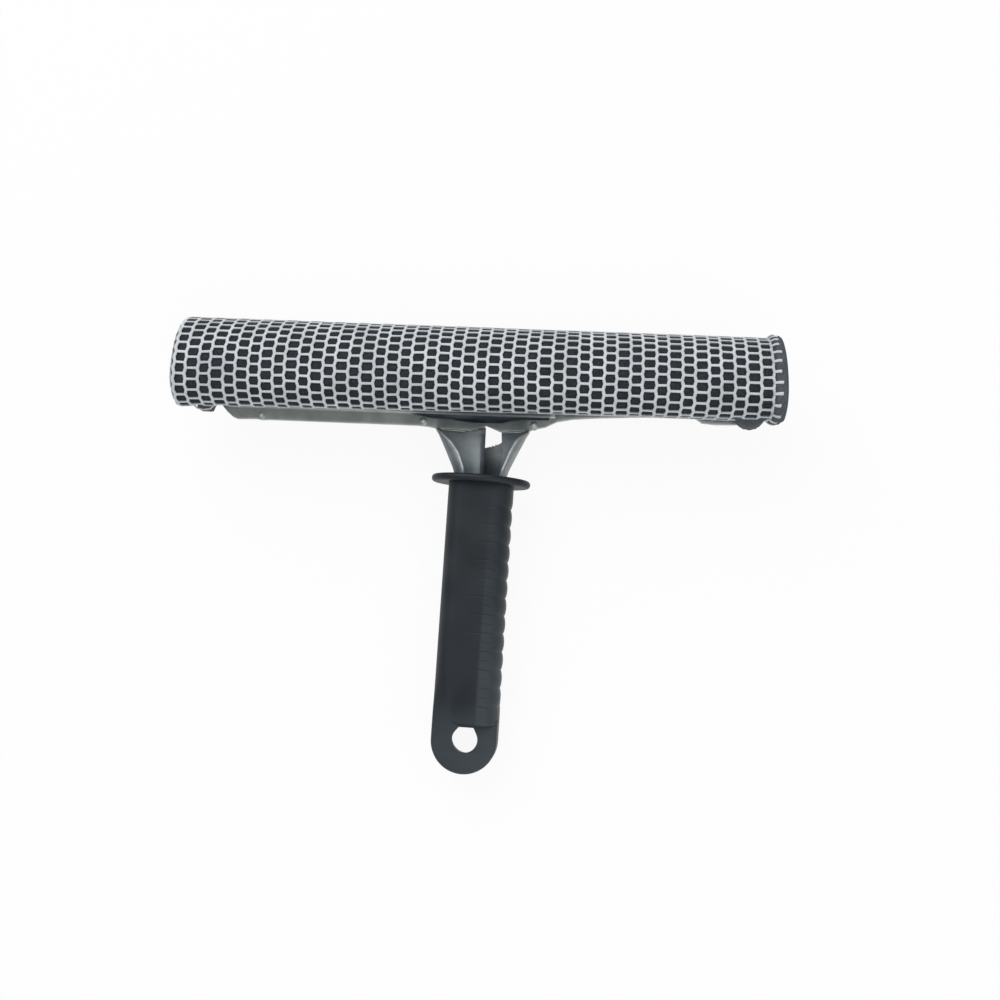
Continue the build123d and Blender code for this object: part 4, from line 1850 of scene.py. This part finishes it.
@dataclass
class WiperBlade:
    """The rubber blade in its lipped channel, behind the wall."""

    middle: float = 28.5
    channel: tuple[float, float] = (-111.0, 107.0)
    blade: tuple[float, float] = (-122.0, 118.0)
    height: float = 7.0
    depth: float = 9.0
    sheet: float = 0.8
    mouth: float = 3.2
    wall_face: float = -1.0
    profile: Table = ((2.6, -2.7), (2.6, -9.1), (1.5, -9.1), (1.15, -14.0), (1.0, -21.0))

    def make_channel(self) -> Object:
        """Bends the channel from sheet.

        Returns:
            The new object.
        """
        top, mouth = self.height / 2 - self.sheet / 2, self.mouth / 2
        web = self.wall_face - self.sheet / 2
        jaw = self.wall_face - self.depth + self.sheet / 2
        half = [(mouth, jaw), (top, jaw), (top, web)]
        line = half + [(-up, back) for up, back in reversed(half)]
        line = np.array([(self.middle + up, back) for up, back in line])
        left, right = self.channel

        def place(across: Points, up: Points) -> Points:
            """Sets a point of the blank on the bent channel."""
            bend = np.rint(up * (len(line) - 1)).astype(int)
            return np.column_stack([left + (right - left) * across, line[bend]])

        channel = press(blank("blade_channel_sheet", 12, len(line) - 1), place)
        ease_edges(channel, 0.8, 4, 50.0)
        apply_modifier(channel, "SOLIDIFY", thickness=self.sheet, offset=0.0, use_even_offset=True)
        ease_edges(channel, 0.12, 2, 60.0)
        smooth(channel, 40)
        return channel

    def make_blade(self) -> Object:
        """Makes the blade: bead, neck and tapering lip, with eased edges.

        Returns:
            The new object.
        """
        upper = [(self.middle + up, back) for up, back in self.profile]
        lower = [(self.middle - up, back) for up, back in reversed(self.profile)]
        blade = prism("wiper_blade", [lower[-1], *upper, *lower[:-1]], *self.blade)
        set_points(blade, get_points(blade)[:, [2, 0, 1]])
        ease_edges(blade, 0.25, 3, 40.0)
        smooth(blade, 40)
        return blade

    def build(self, shop: Shop) -> None:
        """Makes the channel and the blade and hands them over.

        Args:
            shop: where they go.
        """
        shop.hand_over(self.make_channel(), Finish.STEEL, "blade_channel")
        shop.hand_over(self.make_blade(), Finish.RUBBER, "rubber_blade")


# The handle


@dataclass
class Handle:
    """The moulded handle: scalloped grip, guard, and a thinner end with the hang hole."""

    width: float = 27.1
    thickness: float = 19.0
    corner: float = 6.5
    length: float = 122.6
    grip_length: float = 102.7
    end_radius: float = 1.6
    end_face: float = 9.0
    tab_thickness: float = 12.0
    tab_edge: float = 1.5
    guard_width: float = 41.9
    guard_depth: float = 28.8
    guard_thickness: float = 3.1
    guard_shift: float = -0.35
    guard_edge: float = 1.45
    guard_tilt: float = 1.5
    scallop_count: int = 12
    scallop_pitch: float = 7.45
    scallop_first: float = 12.8
    scallop_depth: float = 0.8
    line_depth: float = 0.12
    line_width: float = 0.34
    run_out: float = 20.0
    facet_start: float = 5.2
    facet_fall: float = 0.085
    hole_radius: float = 5.2
    hole_corners: Table = ((-2.7, 4.9), (3.3, 4.9))
    hole_across: float = 0.5
    hole_up: float = 14.1
    hole_draft: float = 1.25
    around: int = 168
    down: int = 420

    def section(
        self, share: Points, shrink: Points, thickness: float, radius: float
    ) -> tuple[Points, Points]:
        """Finds places round a rounded rectangle of the handle's width.

        Args:
            share: shares of the way round, from the back's middle.
            shrink: how far in each place is drawn.
            thickness: the rectangle's depth.
            radius: its corners' radius.

        Returns:
            X and Z.
        """
        half_w, half_t = self.width / 2, thickness / 2
        flat_w, flat_t = half_w - radius, half_t - radius
        arc = math.pi / 2 * radius
        spans = np.array([flat_w, arc, 2 * flat_t, arc, 2 * flat_w, arc, 2 * flat_t, arc, flat_w])
        ends = np.concatenate([[0], np.cumsum(spans)])
        walk = np.clip(share, 0, 1) * ends[-1]
        x, z = np.zeros_like(walk), np.zeros_like(walk)
        nx, nz = np.zeros_like(walk), np.zeros_like(walk)
        corners = {1: (flat_w, -flat_t, -90), 3: (flat_w, flat_t, 0), 5: (-flat_w, flat_t, 90)}
        corners[7] = (-flat_w, -flat_t, 180)
        for k in range(9):
            part = (walk >= ends[k]) & (walk <= ends[k + 1] + 1e-9)
            t = (walk[part] - ends[k]) / spans[k]
            if k in corners:
                cx, cz, start = corners[k]
                angle = np.radians(start + 90 * t)
                x[part], z[part] = cx + radius * np.cos(angle), cz + radius * np.sin(angle)
                nx[part], nz[part] = np.cos(angle), np.sin(angle)
            elif k in (0, 8):
                x[part] = t * flat_w if k == 0 else -flat_w + t * flat_w
                z[part], nz[part] = -half_t, -1
            elif k == 2:
                x[part], z[part], nx[part] = half_w, -flat_t + 2 * flat_t * t, 1
            elif k == 4:
                x[part], z[part], nz[part] = flat_w - 2 * flat_w * t, half_t, 1
            else:
                x[part], z[part], nx[part] = -half_w, flat_t - 2 * flat_t * t, -1
        return x - nx * shrink, z - nz * shrink

    def scallop(self, down: Points) -> Points:
        """Gives the finger scallops' depth.

        Args:
            down: distances down the grip.

        Returns:
            From 0 on a crest to 1 in a notch.
        """
        phase = (down - self.scallop_first) / self.scallop_pitch
        inside = (phase > -0.5) & (phase < self.scallop_count - 0.5)
        return np.where(inside, 1 - np.abs(np.sin(np.pi * phase)) ** 0.55, 0.0)

    def lines(self, down: Points, x: Points) -> Points:
        """Gives the depth of the fine lines over the faces, which fade to the left.

        Args:
            down: distances down the grip.
            x: places across.

        Returns:
            From 0 to 1.
        """
        half_pitch, last = self.scallop_pitch / 2, 2 * self.scallop_count - 2
        phase = (down - self.scallop_first) / half_pitch
        index = np.rint(phase)
        inside = (phase > -0.6) & (phase < last + 0.6)
        cut = np.clip(1.4 - np.abs(phase - index) * half_pitch / self.line_width, 0, 1)
        middle = np.sin(np.clip(index / last, 0, 1) * math.pi)
        reach = np.where(index % 2 == 0, 2.5, 6.0) - 5.0 * middle + 1.5 * np.sin(index * 1.7)
        fade = np.clip((x - reach) / 6.0, 0, 1) * (1 - rise(x, 7.5, 9.8))
        return np.where(inside, cut * fade, 0.0)

    def surface(self, across: Points, up: Points) -> Points:
        """Places the grip's skin: down its length, then in over its end.

        Args:
            across: shares of the way round.
            up: shares of the way up.

        Returns:
            Rows of X, Y, Z.
        """
        radius = self.end_radius
        down = (1 - up) * (self.grip_length + self.end_face)
        quarter = math.pi / 2 * radius
        past = down - (self.grip_length - radius)
        turn = np.clip(past / quarter, 0, 1) * math.pi / 2
        inwards = radius * (1 - np.cos(turn)) + np.maximum(past - quarter, 0) * 1.4
        y = -np.where(past > 0, self.grip_length - radius + radius * np.sin(turn), down)
        still = np.zeros_like(across)
        x0, z0 = self.section(across, still, self.thickness, self.corner)
        thin_x, thin_z = self.section(across, still, self.tab_thickness + 0.1, self.tab_edge)
        groove = self.scallop_depth * self.scallop(down) * np.clip((x0 - 8.0) / 4.5, 0, 1)
        groove = groove + self.line_depth * self.lines(down, x0) * (np.abs(z0) > 3.0)
        facet = np.maximum(x0 - self.facet_start, 0) * self.facet_fall * (z0 > 0)
        facet = facet * rise(down, 20.0, 65.0)
        x, z = self.section(across, groove, self.thickness, self.corner)
        z = z - facet * rise(z0, 0.0, 6.0)
        fall = rise(down, self.grip_length - self.run_out, self.grip_length - radius)
        fall = fall * (1 - rise(x0, -7.0, 5.0) * rise(z0, -2.0, 2.0))
        left = 1 - np.clip(inwards / 13.0, 0, 1)
        return np.column_stack([(x + (thin_x - x) * fall) * left, y, (z + (thin_z - z) * fall) * left])

    def grip(self) -> Object:
        """Makes the grip's skin, closed by its guard end's cap.

        Returns:
            The new object.
        """
        grip = press(blank("grip", self.around, self.down), self.surface)
        merge_points(grip, 0.004)
        with editing(grip, "VERT"):
            bpy.ops.mesh.select_all(action="DESELECT")
            bpy.ops.mesh.select_non_manifold()
            bpy.ops.mesh.fill()
            bpy.ops.mesh.select_all(action="SELECT")
            bpy.ops.mesh.normals_make_consistent(inside=False)
        return grip

    def tab(self) -> Object:
        """Makes the handle's thinner end, round about its hang hole.

        Returns:
            The new object.
        """
        half, start, edge = self.width / 2, -self.grip_length + 2.4, self.tab_edge
        middle = -self.length + half
        sweep = np.linspace(0, -math.pi, 65)
        end = [(half * math.cos(a), middle + half * math.sin(a), 0) for a in sweep]
        outline = [(half, start, 0), *end, (-half, start, 0)]
        shape = {"extrude": self.tab_thickness / 2 - edge, "bevel_depth": edge, "offset": -edge}
        shape |= {"bevel_resolution": 4, "fill_mode": "BOTH"}
        tab = curve_mesh("tab", outline, True, dimensions="2D", **shape)
        merge_points(tab, 0.003)
        return tab

    def hole(self) -> Object:
        """Makes the hang hole's cutter: round, with a flat top between shoulders, and draft.

        Returns:
            The new object.
        """
        middle, radius = -self.length + self.hole_up, self.hole_radius
        (left, top), (right, _) = self.hole_corners
        lean = [math.acos(radius / math.hypot(x, top)) for x in (left, right)]
        start = math.atan2(top, right) - lean[1]
        end = math.atan2(top, left) + lean[0] - 2 * math.pi
        outline = [(radius * math.cos(a), radius * math.sin(a)) for a in np.linspace(start, end, 56)]
        cutter = prism("hole_cutter", [*outline, (left, top), (right, top)], -20.0, 20.0)
        points = get_points(cutter)
        deep = self.tab_thickness / 2 - points[:, 2:]
        grow = 1 + self.hole_draft / radius * deep / self.tab_thickness
        points[:, :2] = points[:, :2] * grow + (self.hole_across, middle)
        set_points(cutter, points)
        return cutter

    def guard(self) -> Object:
        """Makes the oval guard, with a shallow well where the neck goes in.

        Returns:
            The new object.
        """
        add = bpy.ops.mesh.primitive_cylinder_add
        guard = primitive(add, "guard", vertices=96, radius=1.0, depth=self.guard_thickness)
        set_points(guard, get_points(guard) * (self.guard_width / 2, self.guard_depth / 2, 1.0))
        ease_edges(guard, self.guard_edge, 6)
        for face in guard.data.polygons:
            face.select = face.normal.z > 0.999
        with editing(guard):
            bpy.ops.mesh.inset(thickness=1.2, depth=0.0)
            bpy.ops.mesh.inset(thickness=0.7, depth=-0.45)
        x, depth, height = get_points(guard).T
        y = height - self.guard_thickness / 2
        tilt = math.radians(self.guard_tilt)
        across = x * math.cos(tilt) + y * math.sin(tilt) + self.guard_shift
        set_points(guard, np.column_stack([across, y * math.cos(tilt) - x * math.sin(tilt), -depth]))
        return guard

    def tint(self, handle: Object) -> None:
        """Paints light on the lit right facet and towards the end, and shade in the fine lines moulded
        into it.

        Args:
            handle: the joined handle.
        """
        x, y, z = get_points(handle).T
        down = -y
        # Painted light on the right facet that faces the lamp, paler further down the grip.
        band = rise(x, 3.6, 5.4) * (0.25 + 0.75 * rise(down, 20.0, 95.0)) * rise(down, 3.5, 12.0)
        # Painted light towards the handle's end.
        end = 0.75 * rise(down, self.grip_length - 14.0, self.grip_length + 4.0)
        # Slightly paler everywhere but just under the guard; the noise adds a random tone.
        painted_light = np.maximum(np.maximum(band, end), 0.1 * rise(down, 3.0, 6.0))
        paint(handle, "painted_light", painted_light + 0.12 * wave_noise(np.column_stack([x, y]), 24.0, 5))
        # Painted shade in the fine moulded lines, on the faces only.
        ribbed = (down > 3.5) & (down < self.grip_length - 3.0) & (np.abs(z) > 3.0)
        paint(handle, "line", np.where(ribbed, 0.55 * self.lines(down, x), 0.0))

    def build(self, shop: Shop) -> None:
        """Makes the handle and hands it over.

        Args:
            shop: where it goes.
        """
        grip, tab = self.grip(), self.tab()
        for shape in (tab, grip):
            cut_away(shape, self.hole())
        handle = join([grip, tab, self.guard()], "moulded_handle")
        self.tint(handle)
        lean = Matrix.Rotation(-HANDLE_LEAN, 4, "Z")
        handle.data.transform(Matrix.Translation((HANDLE_OFFSET, GUARD_TOP, 0)) @ lean)
        smooth(handle, 35)
        shop.hand_over(handle, Finish.PLASTIC, "handle_grip")


# The studio


@dataclass
class Studio:
    """A pale floor, soft lamps, and the camera at the photograph's angle."""

    eye: tuple[float, float, float] = (44.9, -67.75, 475.97)
    right: tuple[float, float, float] = (0.99646, 0.05527, -0.0634)
    up: tuple[float, float, float] = (-0.04218, 0.98052, 0.19185)
    back: tuple[float, float, float] = (0.07277, -0.18849, 0.97937)
    lens: float = 40.0
    floor_size: float = 6.0
    floor_colour: str = "f2f2f2"
    floor_glow: float = 0.92
    sky_colour: str = "eef1f4"
    sky_strength: float = 0.55

    def camera(self) -> None:
        """Sets the camera."""
        data = bpy.data.cameras.new("photo_camera")
        data.sensor_width = 36.0
        data.lens = self.lens
        data.clip_start = 0.01
        camera = bpy.data.objects.new("photo_camera", data)
        bpy.context.scene.collection.objects.link(camera)
        turn = Matrix((self.right, self.up, self.back)).transposed().to_4x4()
        turn.normalize()
        camera.matrix_world = Matrix.Translation(Vector(self.eye) * MM) @ turn
        bpy.context.scene.camera = camera

    def floor(self) -> None:
        """Lays the floor: white to the eye and in gloss, and still keeping the tool's shadow."""
        add = bpy.ops.mesh.primitive_plane_add
        floor = primitive(add, "studio_floor", size=self.floor_size, location=(0, 0, -0.0002))
        material = bpy.data.materials.new("pale_studio_floor")
        material.use_nodes = True
        tree = material.node_tree
        tree.nodes.clear()
        path = add_node(tree, "LightPath").outputs
        seen = path["Is Camera Ray"]
        for other in ("Is Glossy Ray", "Is Transmission Ray"):
            links = {0: seen, 1: path[other]}
            seen = add_node(tree, "Math", {"operation": "MAXIMUM"}, links).outputs[0]
        share = {"operation": "MULTIPLY", 1: self.floor_glow}
        share = add_node(tree, "Math", share, {0: seen}).outputs[0]
        plain = {"Color": to_linear(self.floor_colour), "Roughness": 0.0}
        plain = add_node(tree, "BsdfDiffuse", plain).outputs[0]
        white = add_node(tree, "Emission", {"Color": to_linear("ffffff"), "Strength": 1.0})
        mixed = add_node(tree, "MixShader", links={0: share, 1: plain, 2: white.outputs[0]})
        add_node(tree, "OutputMaterial", links={"Surface": mixed.outputs[0]})
        floor.data.materials.append(material)
        floor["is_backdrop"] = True

    def world(self) -> None:
        """Sets a soft surround, white where the camera sees it."""
        world = bpy.data.worlds.new("white_surround")
        bpy.context.scene.world = world
        world.use_nodes = True
        tree = world.node_tree
        tree.nodes.clear()
        path = add_node(tree, "LightPath").outputs["Is Camera Ray"]
        soft = {"Color": to_linear(self.sky_colour), "Strength": self.sky_strength}
        soft = add_node(tree, "Background", soft).outputs[0]
        seen = add_node(tree, "Background", {"Color": to_linear("ffffff"), "Strength": 1.0})
        mixed = add_node(tree, "MixShader", links={0: path, 1: soft, 2: seen.outputs[0]})
        add_node(tree, "OutputWorld", links={"Surface": mixed.outputs[0]})

    def lamp(
        self, name: str, place: tuple[float, float, float], size: float, power: float
    ) -> None:
        """Hangs a square soft lamp, aimed at the tool.

        Args:
            name: its name.
            place: where it hangs, in metres.
            size: its side, in metres.
            power: its watts.
        """
        data = bpy.data.lights.new(name, "AREA")
        data.size = size
        data.energy = power
        lamp = bpy.data.objects.new(name, data)
        bpy.context.scene.collection.objects.link(lamp)
        spot = Vector(place)
        aim = (Vector((0, 0.02, 0.02)) - spot).to_track_quat("-Z", "Y")
        lamp.matrix_world = Matrix.Translation(spot) @ aim.to_matrix().to_4x4()

    def build(self) -> None:
        """Sets up the studio."""
        bpy.context.scene.view_settings.view_transform = "Standard"
        self.camera()
        self.floor()
        self.world()
        self.lamp("key_softbox", (-0.5, 0.9, 1.1), 1.3, 13.0)
        self.lamp("fill_softbox", (0.5, -0.9, 1.0), 1.2, 6.0)


def main() -> None:
    """Builds the studio and the tool's pieces in order."""
    logging.basicConfig(level=logging.INFO, format="%(message)s")
    Studio().build()
    shop = Shop()
    section, ears = RollSection(), Ears()
    mesh = Mesh(section)
    for piece in (
        FoamRoll(section, ears, mesh),
        KnitNet(section, ears, mesh),
        SteelHead(Neck()),
        Rivets(),
        WiperBlade(),
        Handle(),
    ):
        piece.build(shop)
    boxes = {"cad": CAD_BOX, "visual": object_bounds()}
    {k: [list(map(float, corner)) for corner in v] for k, v in boxes.items()}


if __name__ == "__main__":
    main()
